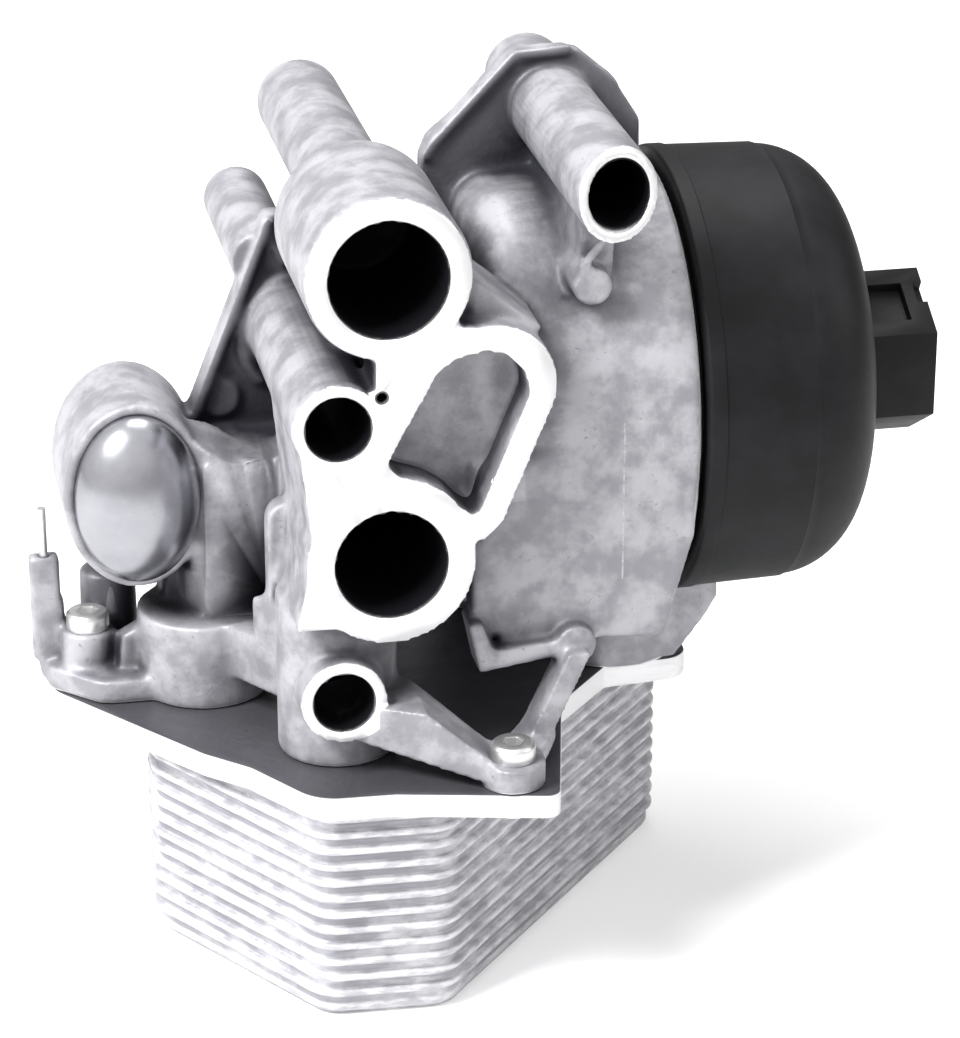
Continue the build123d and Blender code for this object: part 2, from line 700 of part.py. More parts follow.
def check_plug():
    """Screw plug with a long nose that carries the check spring, flush in the stub's end."""
    plug = rod_y(stub_axis, check_bore_r - fit_clear, check_plug_y, stub_end_y - 0.8)
    key = along_y(Pos(*stub_axis) * RegularPolygon(plug_key / 2, 6, major_radius=False),
                  stub_end_y - 0.8 - plug_key_depth, stub_end_y)
    return plug - key


def oval_tube(grow_outer, grow_inner, y0, y1):
    outer = Pos(*cover_centre) * Ellipse(cover_half_width + grow_outer, cover_half_height + grow_outer)
    inner = Pos(*cover_centre) * Ellipse(cover_half_width + grow_inner, cover_half_height + grow_inner)
    return along_y(outer - inner, y0, y1)


def dome(shrink):
    ball = scale(Sphere(1), by=(cover_half_width - shrink, cover_bulge - shrink, cover_half_height - shrink))
    return Pos(cover_centre[0], cover_face_y, cover_centre[1]) * ball


def domed_cover():
    """Pressed oval cover: a thin dome with a skirt that sits in the boss."""
    front = Pos(cover_centre[0], cover_face_y, cover_centre[1]) * Box(60, 60, 60, align=(Align.CENTER, Align.MAX, Align.CENTER))
    shell = (dome(0) & front) - dome(cover_wall)
    return shell + oval_tube(-0.2 - fit_clear, -cover_wall, cover_face_y - 0.2, cover_face_y + cover_skirt)


def relief_piston():
    """Cup piston, open towards the cover, resting on its shoulder."""
    end = piston_seat_y - fit_clear
    cup = rod_y(cover_centre, piston_bore_r - piston_clear, end - piston_length, end)
    cup -= rod_y(cover_centre, piston_bore_r - piston_clear - piston_wall, end - piston_length - 1, end - piston_wall)
    return cup + rod_y(cover_centre, piston_bore_r - 3.6, end - 0.5, end + 1.5)


relief_spring_r = 5.4
relief_spring_start_y = cover_face_y - (cover_bulge - cover_wall) * sqrt(
    1 - ((relief_spring_r + relief_wire) / (cover_half_width - cover_wall)) ** 2) + 0.3


def relief_spring():
    length = piston_seat_y - fit_clear - piston_wall - relief_spring_start_y - 2 * fit_clear
    spring = coil(relief_wire, relief_spring_r, length, valve_turns + 2)
    return Pos(cover_centre[0], relief_spring_start_y + fit_clear, cover_centre[1]) * Rot(-90, 0, 0) * spring


# Plate cooler

def stack_outline(margin):
    """Rounded eight-sided plan of the plates, point-symmetric about the cooler's centre."""
    points = stack_half_plan + [mirrored(place) for place in stack_half_plan]
    outline = area(points)
    outline = fillet(outline.vertices(), stack_corner_r)
    return outline if margin == 0 else offset(outline, margin, kind=Kind.INTERSECTION)


def cooler_base_plate():
    """Thick plate with the bolt ears, on which the casting stands."""
    plan = stack_outline(base_margin)
    plan += fillet(area(front_corner).vertices(), front_corner_r)
    for ear_x, ear_y, ear_r in ears:
        root_x = ear_x + (cooler_centre[0] - ear_x) * 0.35
        root_y = ear_y + (cooler_centre[1] - ear_y) * 0.35
        plan += hull_of([(ear_x, ear_y, ear_r), (root_x, root_y, ear_r * 1.5)])
    plate = along_z(plan, base_bottom_z, base_z)
    for place in (chamber_left, chamber_front, chamber_right, chamber_rear):
        plate -= rod_z(place, port_r, base_bottom_z - 1, base_z + 1)
    for place in bolt_places:
        plate -= rod_z(place, bolt_r + fit_clear, base_bottom_z - 1, base_z + 1)
    return plate


def cooler_plate_stack():
    """Nested cup plates brazed into one block, each rim standing proud of the next."""
    taper = 180 / pi * (plate_step / plate_pitch)
    plan = stack_outline(0)
    stack = None
    for i in range(plate_count):
        top = base_bottom_z - i * plate_pitch
        cup = extrude(Plane.XY.offset(top) * plan, -plate_pitch, taper=taper)
        stack = cup if stack is None else stack + cup
    for place in (chamber_left, chamber_front, chamber_right, chamber_rear):
        stack -= rod_z(place, port_r, base_bottom_z - (plate_count - 1) * plate_pitch, base_bottom_z + 1)
    return stack


def cooler_end_plate():
    """Flat bottom plate that the part rests on."""
    top = base_bottom_z - plate_count * plate_pitch
    plate = along_z(stack_outline(-plate_step), top - end_plate_thickness, top)
    return fillet(plate.faces().sort_by(Axis.Z)[0].edges(), end_plate_thickness * 0.7)


def cooler_seals():
    """Four seal rings between the casting's chambers and the base plate."""
    rings = []
    for place in (chamber_left, chamber_front, chamber_right, chamber_rear):
        outer_r = seal_groove_r - fit_clear
        ring = rod_z(place, outer_r, base_z + 0.02, base_z + seal_section - 0.02)
        ring -= rod_z(place, outer_r - seal_wall, base_z - 1, base_z + seal_section + 1)
        rings.append(ring)
    return Compound(children=rings)


def cooler_bolts():
    """Round-headed socket bolts that clamp the casting to the base plate."""
    bolts = []
    for place, lug_top in zip(bolt_places, lug_tops):
        seat = base_z + lug_top
        bolt = rod_z(place, bolt_r, base_bottom_z + 0.3, seat + 0.5)
        head = rod_z(place, bolt_head_r, seat, seat + bolt_head_height)
        bolt += chamfer(head.edges().filter_by(GeomType.CIRCLE).sort_by(Axis.Z)[-1], 0.6)
        socket = Pos(*place) * RegularPolygon(bolt_socket / 2, 6, major_radius=False)
        bolts.append(bolt - along_z(socket, seat + bolt_head_height - 2, seat + bolt_head_height + 1))
    return Compound(children=bolts)


def locating_pin():
    """Slim pin pressed into the left tab."""
    return rod_z(tab_place, pin_r, tab_top_z - pin_seat + fit_clear, tab_top_z + pin_height)


def main():
    os.makedirs("parts", exist_ok=True)
    nodes = {
        "housing": housing(),
        "cap": cap(),
        "cap_o_ring": cap_o_ring(),
        "filter_pleats": pleats(),
        "filter_centre_tube": centre_tube(),
        "filter_inner_end_disc": inner_end_disc(),
        "filter_outer_end_disc": outer_end_disc(),
        "filter_pipe_seal": element_seal(),
        "stand_pipe": stand_pipe(),
        "bypass_plunger": bypass_plunger(),
        "bypass_spring": bypass_spring(),
        "check_ball": check_ball(),
        "check_spring": check_spring(),
        "check_plug": check_plug(),
        "domed_cover": domed_cover(),
        "relief_piston": relief_piston(),
        "relief_spring": relief_spring(),
        "cooler_base_plate": cooler_base_plate(),
        "cooler_plate_stack": cooler_plate_stack(),
        "cooler_end_plate": cooler_end_plate(),
        "cooler_seals": cooler_seals(),
        "cooler_bolts": cooler_bolts(),
        "locating_pin": locating_pin(),
    }
    for name, shape in nodes.items():
        export_step(shape, f"parts/{name}.step")


main()
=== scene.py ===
import json
import math
from contextlib import contextmanager

import bmesh
import bpy
import numpy as np
from mathutils import Matrix, Vector, geometry
from mathutils.bvhtree import BVHTree


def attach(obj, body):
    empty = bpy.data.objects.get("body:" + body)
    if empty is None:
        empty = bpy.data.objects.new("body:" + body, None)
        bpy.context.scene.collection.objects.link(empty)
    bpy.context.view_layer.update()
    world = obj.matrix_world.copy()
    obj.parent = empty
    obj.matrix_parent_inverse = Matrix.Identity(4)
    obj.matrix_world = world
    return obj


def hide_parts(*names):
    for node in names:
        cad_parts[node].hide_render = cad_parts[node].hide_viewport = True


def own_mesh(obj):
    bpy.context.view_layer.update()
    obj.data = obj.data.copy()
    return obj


# Oil filter housing with a screw cap and a brazed plate cooler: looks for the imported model.
# Named lengths are in millimetres, in the frame of the CAD model, and mm turns them into metres.

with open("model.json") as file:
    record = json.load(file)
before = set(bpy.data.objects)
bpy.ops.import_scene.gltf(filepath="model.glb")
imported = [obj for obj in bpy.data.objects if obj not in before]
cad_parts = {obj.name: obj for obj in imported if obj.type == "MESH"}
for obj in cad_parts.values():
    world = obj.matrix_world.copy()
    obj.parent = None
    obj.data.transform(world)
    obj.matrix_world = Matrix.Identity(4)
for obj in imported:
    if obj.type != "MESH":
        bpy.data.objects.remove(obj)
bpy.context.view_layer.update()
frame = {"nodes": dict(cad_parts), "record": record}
mm = 0.001

# Places shared with the model's source
upper_port = (0.0, 0.0)
lower_port = (0.0, -50.7)
left_bolt = (-8.8, -25.5)
low_bolt = (-8.5, -75.7)
top_bolt = (38.4, 12.1)
pin_hole = (-1.4, -20.4)
ejector_mark = (-21.9, -38.2)
pocket_lobes = [(17.4, -20.0, 6.4), (12.6, -18.2, 4.6), (12.3, -40.2, 3.4), (2.2, -32.3, 2.4)]
pocket_edge = [(16.3, -13.5), (20.0, -14.5), (22.8, -17.6), (23.8, -21.5), (23.4, -27.4),
               (20.3, -34.4), (16.9, -40.8), (14.6, -43.2), (12.0, -41.3), (9.5, -38.4),
               (6.1, -36.2), (2.7, -35.1), (-0.2, -34.3), (-0.3, -32.1), (1.3, -28.7),
               (3.3, -24.7), (5.6, -20.1), (7.9, -17.0), (11.2, -14.6)]
pocket_depth, pocket_step_x = 8.5, 17.6
check_bore = (0.0, 3.0)
pin_hole_r, pin_hole_depth = 0.9, 5.0
tube_r, tube_bore_r, mouth_ring_y = 7.5, 5.6, 9.0
mouth_lean_x, mouth_lean_z = 0.44, 0.30
mouth_direction = Vector((mouth_lean_x, -1.0, mouth_lean_z)).normalized()

# Holes along Y: the place in x and z, the radius and how deep the painted shade inside it reaches
port_holes = [
    (upper_port, 10.0, 38.5),
    (check_bore, 6.4, 62.0),
    (lower_port, 9.5, 41.0),
    (left_bolt, 5.5, 61.0),
    (low_bolt, 5.2, 35.0),
    (top_bolt, tube_bore_r, 77.0),
    (pin_hole, pin_hole_r, pin_hole_depth),
]

# Mould joint on the bowl, web floors that take painted shade, pocket floor that takes less painted shade,
# and milled parts of the flange
bowl_line_x, bowl_line_z, bowl_line_rear_y = (41.65, 41.95), (-60.0, -31.0), 15.0
web_floor_y = (49.5, 54.5)
pocket_floor_x, pocket_floor_y, pocket_floor_z = (-1.0, 24.5), (7.0, 9.5), (-44.0, -13.0)
flange_low_z, low_bolt_face_r = -66.0, 7.8

# Filter bowl and cap
filter_y, filter_z = 45.0, -35.8
seam_x = 55.4
cap_r, cap_start_x, cap_end_x, cap_shoulder = 40.2, 56.4, 89.8, 14.0
cap_wall = 3.4
sleeve_r, sleeve_start_x, sleeve_wall = 35.05, 41.4, 3.2
groove_depth = 2.6
thread_pitch, thread_height, thread_start_x, thread_row = 4.0, 1.1, 47.8, 0.4
wrench_root = 0.4

# Cooler
base_z = -90.0
base_thickness = 4.5
stack_plan = [(-38.6, 32.0), (-14.0, -6.0), (8.5, -7.0), (60.5, 54.5),
              (60.0, 64.0), (33.0, 95.0), (9.0, 97.0), (-38.2, 44.5)]
cooler_centre = (11.0, 44.0)
base_margin = 1.2
ears = [(-47.5, 47.5, 7.0), (57.0, 62.0, 6.5), (57.0, 41.0, 5.0), (19.5, -7.0, 5.6), (0.0, 95.0, 6.2)]
front_corner = [(-6.5, -4.0), (24.5, -11.0), (32.5, 24.0), (33.0, 37.0), (10.0, 20.0)]
left_wing = [(-47.5, 47.5, 7.0), (-27.5, 17.5, 5.0), (-13.0, 1.5, 3.5), (-10.0, 40.0, 5.0)]
stack_corner_r = 7.0
plate_count, plate_pitch, plate_step = 12, 3.1, 0.9
end_plate_thickness = 2.3
floor_z = -134.0

# Domed cover, by its place and half sizes in x and z
cover_centre = (-38.6, -50.8)
cover_half = (11.2, 15.6)
cover_bulge, cover_wall, cover_face_y = 8.5, 1.4, 38.0

# Fineness of the casting's skin
skin_cell = 0.55
skin_rounds = 9
skin_rays = 14
skin_faces = 92000
merge_distance = 1e-6


# Shader groups

def new_group(name, inputs, outputs):
    group = bpy.data.node_groups.new(name, "ShaderNodeTree")
    for label, kind, value in inputs:
        socket = group.interface.new_socket(label, in_out="INPUT", socket_type=kind)
        socket.default_value = value
    for label, kind in outputs:
        group.interface.new_socket(label, in_out="OUTPUT", socket_type=kind)
    start = group.nodes.new("NodeGroupInput")
    end = group.nodes.new("NodeGroupOutput")
    return group, start, end


def feed(tree, socket, value):
    """Links another node's output to a socket, or sets the socket to a plain value."""
    if isinstance(value, bpy.types.NodeSocket):
        tree.links.new(value, socket)
    else:
        socket.default_value = value


def node(tree, kind, settings=None, **values):
    """New node with its settings and its inputs, which are named with _ for a space."""
    made = tree.nodes.new(kind)
    for key, value in (settings or {}).items():
        setattr(made, key, value)
    for key, value in values.items():
        feed(tree, made.inputs[key.replace("_", " ")], value)
    return made


def maths(tree, operation, *values):
    made = node(tree, "ShaderNodeMath", {"operation": operation})
    for socket, value in zip(made.inputs, values):
        feed(tree, socket, value)
    return made.outputs[0]


def vector_maths(tree, operation, a, b, out=0):
    made = node(tree, "ShaderNodeVectorMath", {"operation": operation})
    feed(tree, made.inputs[0], a)
    feed(tree, made.inputs[1], b)
    return made.outputs[out]


def ramp_between(tree, value, low, high):
    """0 below low, 1 above high, smooth between."""
    made = node(tree, "ShaderNodeMapRange", {"interpolation_type": "SMOOTHSTEP"},
                Value=value, From_Min=low, From_Max=high)
    return made.outputs[0]


def object_place(tree):
    return tree.nodes.new("ShaderNodeTexCoord").outputs["Object"]


def surface_normal(tree):
    return tree.nodes.new("ShaderNodeNewGeometry").outputs["Normal"]


def axes_of(tree, vector):
    """The x, y and z outputs of a vector."""
    return node(tree, "ShaderNodeSeparateXYZ", Vector=vector).outputs


def product(tree, *values):
    result = values[0]
    for value in values[1:]:
        result = maths(tree, "MULTIPLY", result, value)
    return result


def largest(tree, masks):
    result = masks[0]
    for mask in masks[1:]:
        result = maths(tree, "MAXIMUM", result, mask)
    return result


def band(tree, value, limits):
    """1 where value, in metres, is between two limits in millimetres."""
    above = maths(tree, "GREATER_THAN", value, limits[0] * mm)
    return product(tree, above, maths(tree, "LESS_THAN", value, limits[1] * mm))


def mottle_group():
    """Uneven cast or moulded skin: a wide blotch, a grain and the height for a bump."""
    group, start, end = new_group(
        "uneven skin",
        [("Position", "NodeSocketVector", (0, 0, 0)), ("Blotch Size", "NodeSocketFloat", 90.0),
         ("Grain Size", "NodeSocketFloat", 900.0)],
        [("Blotch", "NodeSocketFloat"), ("Grain", "NodeSocketFloat"), ("Height", "NodeSocketFloat")])
    fields = []
    for label, size, detail in (("Blotch", "Blotch Size", 4.0), ("Grain", "Grain Size", 3.0)):
        made = node(group, "ShaderNodeTexNoise", Vector=start.outputs["Position"],
                    Scale=start.outputs[size], Detail=detail, Roughness=0.6)
        fields.append(made.outputs["Fac"])
        group.links.new(fields[-1], end.inputs[label])
    fine_height = product(group, fields[1], 0.4)
    height = maths(group, "MULTIPLY_ADD", fields[0], 0.6, fine_height)
    group.links.new(height, end.inputs["Height"])
    return group


def milled_group():
    """1 on a flat face cut through Point, square to Direction, and 0 elsewhere."""
    group, start, end = new_group(
        "milled face",
        [("Point", "NodeSocketVector", (0, 0, 0)), ("Direction", "NodeSocketVector", (0, -1, 0)),
         ("Depth", "NodeSocketFloat", 0.9 * mm)],
        [("Mask", "NodeSocketFloat")])
    offset = vector_maths(group, "SUBTRACT", object_place(group), start.outputs["Point"])
    along = vector_maths(group, "DOT_PRODUCT", offset, start.outputs["Direction"], 1)
    turned = vector_maths(group, "DOT_PRODUCT", surface_normal(group), start.outputs["Direction"], 1)
    near = maths(group, "LESS_THAN", maths(group, "ABSOLUTE", along), start.outputs["Depth"])
    flat = ramp_between(group, turned, 0.35, 0.60)
    group.links.new(product(group, near, flat), end.inputs["Mask"])
    return group


def bore_group():
    """1 inside a hole along Y, a little way in from its mouth, and 0 elsewhere."""
    group, start, end = new_group(
        "bore inside",
        [("Centre", "NodeSocketVector", (0, 0, 0)), ("Radius", "NodeSocketFloat", 10.0 * mm),
         ("Depth", "NodeSocketFloat", 30.0 * mm)],
        [("Mask", "NodeSocketFloat")])
    offset = vector_maths(group, "SUBTRACT", object_place(group), start.outputs["Centre"])
    flat = vector_maths(group, "MULTIPLY", offset, (1.0, 0.0, 1.0))
    distance = vector_maths(group, "LENGTH", flat, (0, 0, 0), 1)
    inside = maths(group, "LESS_THAN", distance, maths(group, "ADD", start.outputs["Radius"], 0.3 * mm))
    depth = axes_of(group, offset)["Y"]
    deep = ramp_between(group, depth, -3.5 * mm, 1.0 * mm)
    within = maths(group, "LESS_THAN", depth, start.outputs["Depth"])
    group.links.new(product(group, inside, deep, within), end.inputs["Mask"])
    return group


uneven_skin = mottle_group()
milled_face = milled_group()
bore_inside = bore_group()


# Materials

def start_material(name, metallic, roughness):
    made = bpy.data.materials.new(name)
    made.use_nodes = True
    shader = made.node_tree.nodes["Principled BSDF"]
    shader.inputs["Metallic"].default_value = metallic
    shader.inputs["Roughness"].default_value = roughness
    return made, made.node_tree, shader


def place_group(tree, group, **values):
    return node(tree, "ShaderNodeGroup", {"node_tree": group}, **values)


def skin(tree, blotch, grain):
    return place_group(tree, uneven_skin, Position=object_place(tree), Blotch_Size=blotch, Grain_Size=grain)


def mixed(tree, data_type, socket_type, factor, a, b):
    made = node(tree, "ShaderNodeMix", {"data_type": data_type}, Factor=factor)
    for name, value in (("A", a), ("B", b)):
        feed(tree, [s for s in made.inputs if s.name == name and s.type == socket_type][0], value)
    return [s for s in made.outputs if s.type == socket_type][0]


def blend(tree, factor, a, b):
    """Colour a where factor is 0, b where it is 1. Each is a socket or an (r, g, b)."""
    a, b = [(*value, 1) if isinstance(value, tuple) else value for value in (a, b)]
    return mixed(tree, "RGBA", "RGBA", factor, a, b)


def blend_number(tree, factor, a, b):
    return mixed(tree, "FLOAT", "VALUE", factor, a, b)


def bump(tree, shader, height, strength, distance):
    made = node(tree, "ShaderNodeBump", Strength=strength, Distance=distance, Height=height)
    tree.links.new(made.outputs["Normal"], shader.inputs["Normal"])


# Colours
cast_dark, cast_light = (0.29, 0.285, 0.31), (0.48, 0.475, 0.505)
pit_colour = (0.30, 0.295, 0.32)
bowl_line_colour = (0.60, 0.59, 0.62)
# painted shade on the web floors, which face the front deep between the bosses
web_floor_shade_colour = (0.17, 0.168, 0.185)
# painted shade for corners, recesses and narrow gaps
corner_shade_colour = (0.035, 0.035, 0.043)
milled_colour = (0.90, 0.90, 0.91)
# painted shade inside the bores, near black
bore_shade_colour = (0.008, 0.008, 0.010)
plate_dark, plate_light = (0.54, 0.54, 0.57), (0.80, 0.80, 0.82)
# painted shade in the gaps between the plates' rims
plate_gap_shade_colour = (0.36, 0.355, 0.39)
# painted light on the thick top plate's sides
plate_side_light_colour = (0.93, 0.93, 0.94)
# painted shadow on the top plate's wide top, under the casting
plate_top_shadow_colour = (0.085, 0.085, 0.095)


def attribute_value(tree, name):
    return node(tree, "ShaderNodeAttribute", {"attribute_name": name}).outputs["Fac"]


def bowl_line_mask(tree, x, y, z, grain):
    """Mould joint that runs down the bowl's front, broken by the grain."""
    line = product(tree, band(tree, x, bowl_line_x), band(tree, z, bowl_line_z))
    front = maths(tree, "LESS_THAN", y, bowl_line_rear_y * mm)
    return product(tree, line, front, ramp_between(tree, grain, 0.35, 0.75))


def corner_shade_mask(tree, x, y, z):
    """Painted shade in closed-in places: corners, recesses and narrow gaps are darkened. The pocket's floor
    takes less of it.
    """
    deep = ramp_between(tree, attribute_value(tree, "shelter"), 0.06, 0.56)
    narrow = ramp_between(tree, attribute_value(tree, "crevice"), 0.16, 0.52)
    floor = product(tree, band(tree, x, pocket_floor_x), band(tree, z, pocket_floor_z),
                    band(tree, y, pocket_floor_y))
    kept = maths(tree, "SUBTRACT", 1.0, product(tree, floor, 0.75))
    return product(tree, largest(tree, [deep, narrow]), kept)


def milled_mask(tree, z):
    """Flange, upper bolt tube's mouth, the cap's seat and the feet's undersides."""
    planes = [
        ((0, 0, 0), (0, -1, 0)),
        ((top_bolt[0] * mm, 0, top_bolt[1] * mm), tuple(mouth_direction)),
        ((seam_x * mm, 0, 0), (1, 0, 0)),
        ((0, 0, base_z * mm), (0, 0, -1)),
    ]
    masks = [place_group(tree, milled_face, Point=p, Direction=d).outputs[0] for p, d in planes]
    low_bolt_place = (low_bolt[0] * mm, 0, low_bolt[1] * mm)
    from_bolt = vector_maths(tree, "DISTANCE", object_place(tree), low_bolt_place, 1)
    on_flange = maths(tree, "GREATER_THAN", z, flange_low_z * mm)
    on_bolt_face = maths(tree, "LESS_THAN", from_bolt, low_bolt_face_r * mm)
    masks[0] = product(tree, masks[0], largest(tree, [on_flange, on_bolt_face]))
    return largest(tree, masks)


# painted shade inside the holes along Y
def hole_shade_mask(tree):
    masks = []
    for (x, z), r, depth in port_holes:
        made = place_group(tree, bore_inside, Centre=(x * mm, 0, z * mm), Radius=r * mm, Depth=depth * mm)
        masks.append(made.outputs[0])
    return largest(tree, masks)


def cast_material():
    """Grey casting skin, bright milled faces, painted shade inside the bores and in the corners."""
    made, tree, shader = start_material("cast aluminium", 0.30, 0.5)
    look = skin(tree, 130.0, 900.0)
    blotch, grain = look.outputs["Blotch"], look.outputs["Grain"]
    x, y, z = axes_of(tree, object_place(tree))
    facing_y = axes_of(tree, surface_normal(tree))["Y"]
    # painted shade: the front-facing web floors deep between the bosses are darkened
    web_floor_shade = product(tree, ramp_between(tree, facing_y, -0.4, -0.9), band(tree, y, web_floor_y))
    # painted shade in corners and recesses, from the shelter and crevice attributes
    corner = corner_shade_mask(tree, x, y, z)
    milled = milled_mask(tree, z)
    # painted shade inside the bores
    hole = hole_shade_mask(tree)
    colour = blend(tree, ramp_between(tree, blotch, 0.36, 0.64), cast_dark, cast_light)
    layers = [
        (ramp_between(tree, grain, 0.37, 0.27), pit_colour),
        (bowl_line_mask(tree, x, y, z, grain), bowl_line_colour),
        (web_floor_shade, web_floor_shade_colour),
        (corner, corner_shade_colour),
        (milled, milled_colour),
        (hole, bore_shade_colour),
    ]
    for mask, layer_colour in layers:
        colour = blend(tree, mask, colour, layer_colour)
    tree.links.new(colour, shader.inputs["Base Color"])
    rough = blend_number(tree, milled, blend_number(tree, blotch, 0.40, 0.60), 0.32)
    tree.links.new(rough, shader.inputs["Roughness"])
    # no metallic sheen where the shade inside the bores is painted
    metal = blend_number(tree, hole, blend_number(tree, milled, 0.30, 0.25), 0.0)
    tree.links.new(metal, shader.inputs["Metallic"])
    # less specular where the shade in corners and bores is painted
    shaded_specular = maths(tree, "SUBTRACT", 0.5, product(tree, largest(tree, [corner, hole]), 0.42))
    tree.links.new(shaded_specular, shader.inputs["Specular IOR Level"])
    height = blend_number(tree, milled, look.outputs["Height"], 0.5)
    bump(tree, shader, height, 0.5, 0.5 * mm)
    return made


def plain_finish(name, dark, light, metallic, roughness, blotch=120.0, grain=1500.0, depth=0.1):
    """A finish with a soft blotch between two near colours and a fine grain."""
    made, tree, shader = start_material(name, metallic, roughness)
    look = skin(tree, blotch, grain)
    colour = blend(tree, ramp_between(tree, look.outputs["Blotch"], 0.3, 0.7), dark, light)
    tree.links.new(colour, shader.inputs["Base Color"])
    rough = blend_number(tree, look.outputs["Grain"], roughness * 0.85, min(1.0, roughness * 1.2))
    tree.links.new(rough, shader.inputs["Roughness"])
    bump(tree, shader, look.outputs["Height"], 0.4, depth * mm)
    return made


def cooler_material():
    """Brazed sheet: bright rims with the solder's uneven flow, painted shade between them, painted light on
    the thick top plate's sides and a painted shadow on its wide top.
    """
    made, tree, shader = start_material("brazed aluminium", 0.35, 0.38)
    stretched = vector_maths(tree, "MULTIPLY", object_place(tree), (1.0, 1.0, 3.5))
    solder = node(tree, "ShaderNodeTexNoise", Vector=stretched, Scale=230.0, Detail=4.0, Roughness=0.55)
    flow = solder.outputs["Fac"]
    z = axes_of(tree, object_place(tree))["Z"]
    below = maths(tree, "SUBTRACT", (base_z - base_thickness) * mm, z)
    turn = maths(tree, "FRACT", maths(tree, "DIVIDE", below, plate_pitch * mm))
    # painted shade in the gaps between the rims, one band per plate pitch
    gap = product(tree, ramp_between(tree, turn, 0.34, 0.50), ramp_between(tree, turn, 1.0, 0.86),
                  maths(tree, "GREATER_THAN", below, 0.2 * mm),
                  ramp_between(tree, skin(tree, 80.0, 1500.0).outputs["Blotch"], 0.25, 0.60))
    facing_z = axes_of(tree, surface_normal(tree))["Z"]
    # painted shadow on the top plate's upward face
    top = product(tree, ramp_between(tree, facing_z, 0.80, 0.95), maths(tree, "LESS_THAN", below, -3.5 * mm))
    colour = blend(tree, ramp_between(tree, flow, 0.36, 0.60), plate_dark, plate_light)
    colour = blend(tree, gap, colour, plate_gap_shade_colour)
    # painted light: the thick top plate's sides are made brighter
    colour = blend(tree, maths(tree, "LESS_THAN", below, 0.0), colour, plate_side_light_colour)
    colour = blend(tree, top, colour, plate_top_shadow_colour)
    tree.links.new(colour, shader.inputs["Base Color"])
    tree.links.new(blend_number(tree, flow, 0.30, 0.5), shader.inputs["Roughness"])
    bump(tree, shader, flow, 0.6, 0.5 * mm)
    return made


# By slot: name, dark and light colour, metallic, roughness, and where they differ the scale
# of the blotches and of the grain and the bump's depth
plain_finishes = {
    "cap_plastic": ("moulded black plastic", (0.008, 0.008, 0.009), (0.013, 0.013, 0.015), 0.0, 0.46,
                    120.0, 1500.0, 0.08),
    "seal_rubber": ("black rubber", (0.020, 0.018, 0.018), (0.035, 0.032, 0.032), 0.0, 0.6),
    "filter_paper": ("resin paper", (0.70, 0.56, 0.30), (0.84, 0.72, 0.46), 0.0, 0.9, 200.0, 2500.0, 0.2),
    "element_plastic": ("grey plastic", (0.10, 0.10, 0.11), (0.15, 0.15, 0.16), 0.0, 0.5),
    "pipe_steel": ("turned steel", (0.50, 0.50, 0.51), (0.62, 0.62, 0.63), 0.9, 0.3),
    "spring_steel": ("spring wire", (0.34, 0.34, 0.36), (0.46, 0.46, 0.48), 0.9, 0.32),
    "cover_metal": ("pressed bright cover", (0.34, 0.34, 0.37), (0.42, 0.42, 0.45), 0.95, 0.25,
                    90.0, 1200.0, 0.06),
    "bolt_steel": ("plated steel", (0.60, 0.60, 0.60), (0.78, 0.78, 0.77), 0.85, 0.3),
}
finishes = {slot: plain_finish(*values) for slot, values in plain_finishes.items()}
finishes["cast_aluminium"] = cast_material()
finishes["cooler_aluminium"] = cooler_material()
finishes["cap_plastic"].node_tree.nodes["Principled BSDF"].inputs["Specular IOR Level"].default_value = 0.18
# the check ball is painted near black as shade, seen deep inside the upper port
dark_ball = plain_finish("shade-dark ball", (0.010, 0.010, 0.011), (0.020, 0.020, 0.022), 0.3, 0.35)
slot_of = {part["node"]: part["material_slot"] for part in frame["record"]["subparts"]}


def give_finish(piece, slot_name):
    piece.data.materials.clear()
    piece.data.materials.append(finishes[slot_name])


# Mesh helpers

def add_piece(name, mesh):
    piece = bpy.data.objects.new(name, mesh)
    bpy.context.scene.collection.objects.link(piece)
    return piece


@contextmanager
def reworked(mesh):
    """A mesh opened for editing, and written back at the end."""
    work = bmesh.new()
    work.from_mesh(mesh)
    yield work
    work.to_mesh(mesh)
    work.free()


def mesh_of(work, name):
    """New mesh from a shape that was built up."""
    mesh = bpy.data.meshes.new(name)
    work.to_mesh(mesh)
    work.free()
    return mesh


def fill_holes(work):
    bmesh.ops.holes_fill(work, edges=[e for e in work.edges if e.is_boundary])


def cut_off(work, place, direction):
    """Removes what lies beyond a plane, given in millimetres, and leaves it open there."""
    bmesh.ops.bisect_plane(work, geom=work.verts[:] + work.edges[:] + work.faces[:], dist=merge_distance,
                           plane_co=Vector(place) * mm, plane_no=direction, clear_outer=True)


def closed_piece(name, rows, faces, merge=False):
    """New piece from its points and faces, with the normals turned outward."""
    mesh = bpy.data.meshes.new(name)
    mesh.from_pydata(rows, [], faces)
    with reworked(mesh) as work:
        if merge:
            bmesh.ops.remove_doubles(work, verts=work.verts, dist=merge_distance)
            fill_holes(work)
        bmesh.ops.recalc_face_normals(work, faces=work.faces)
    return add_piece(name, mesh)


def stands_for(piece, node_name, body):
    """Finishes a piece that takes a CAD node's place."""
    give_finish(piece, slot_of[node_name])
    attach(piece, body)
    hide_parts(node_name)
    return piece


def merged_copy(node_name, name):
    """The node's mesh with its triangles joined up, as a new object."""
    mesh = frame["nodes"][node_name].data.copy()
    mesh.name = name
    with reworked(mesh) as work:
        bmesh.ops.remove_doubles(work, verts=work.verts, dist=2 * merge_distance)
    return add_piece(name, mesh)


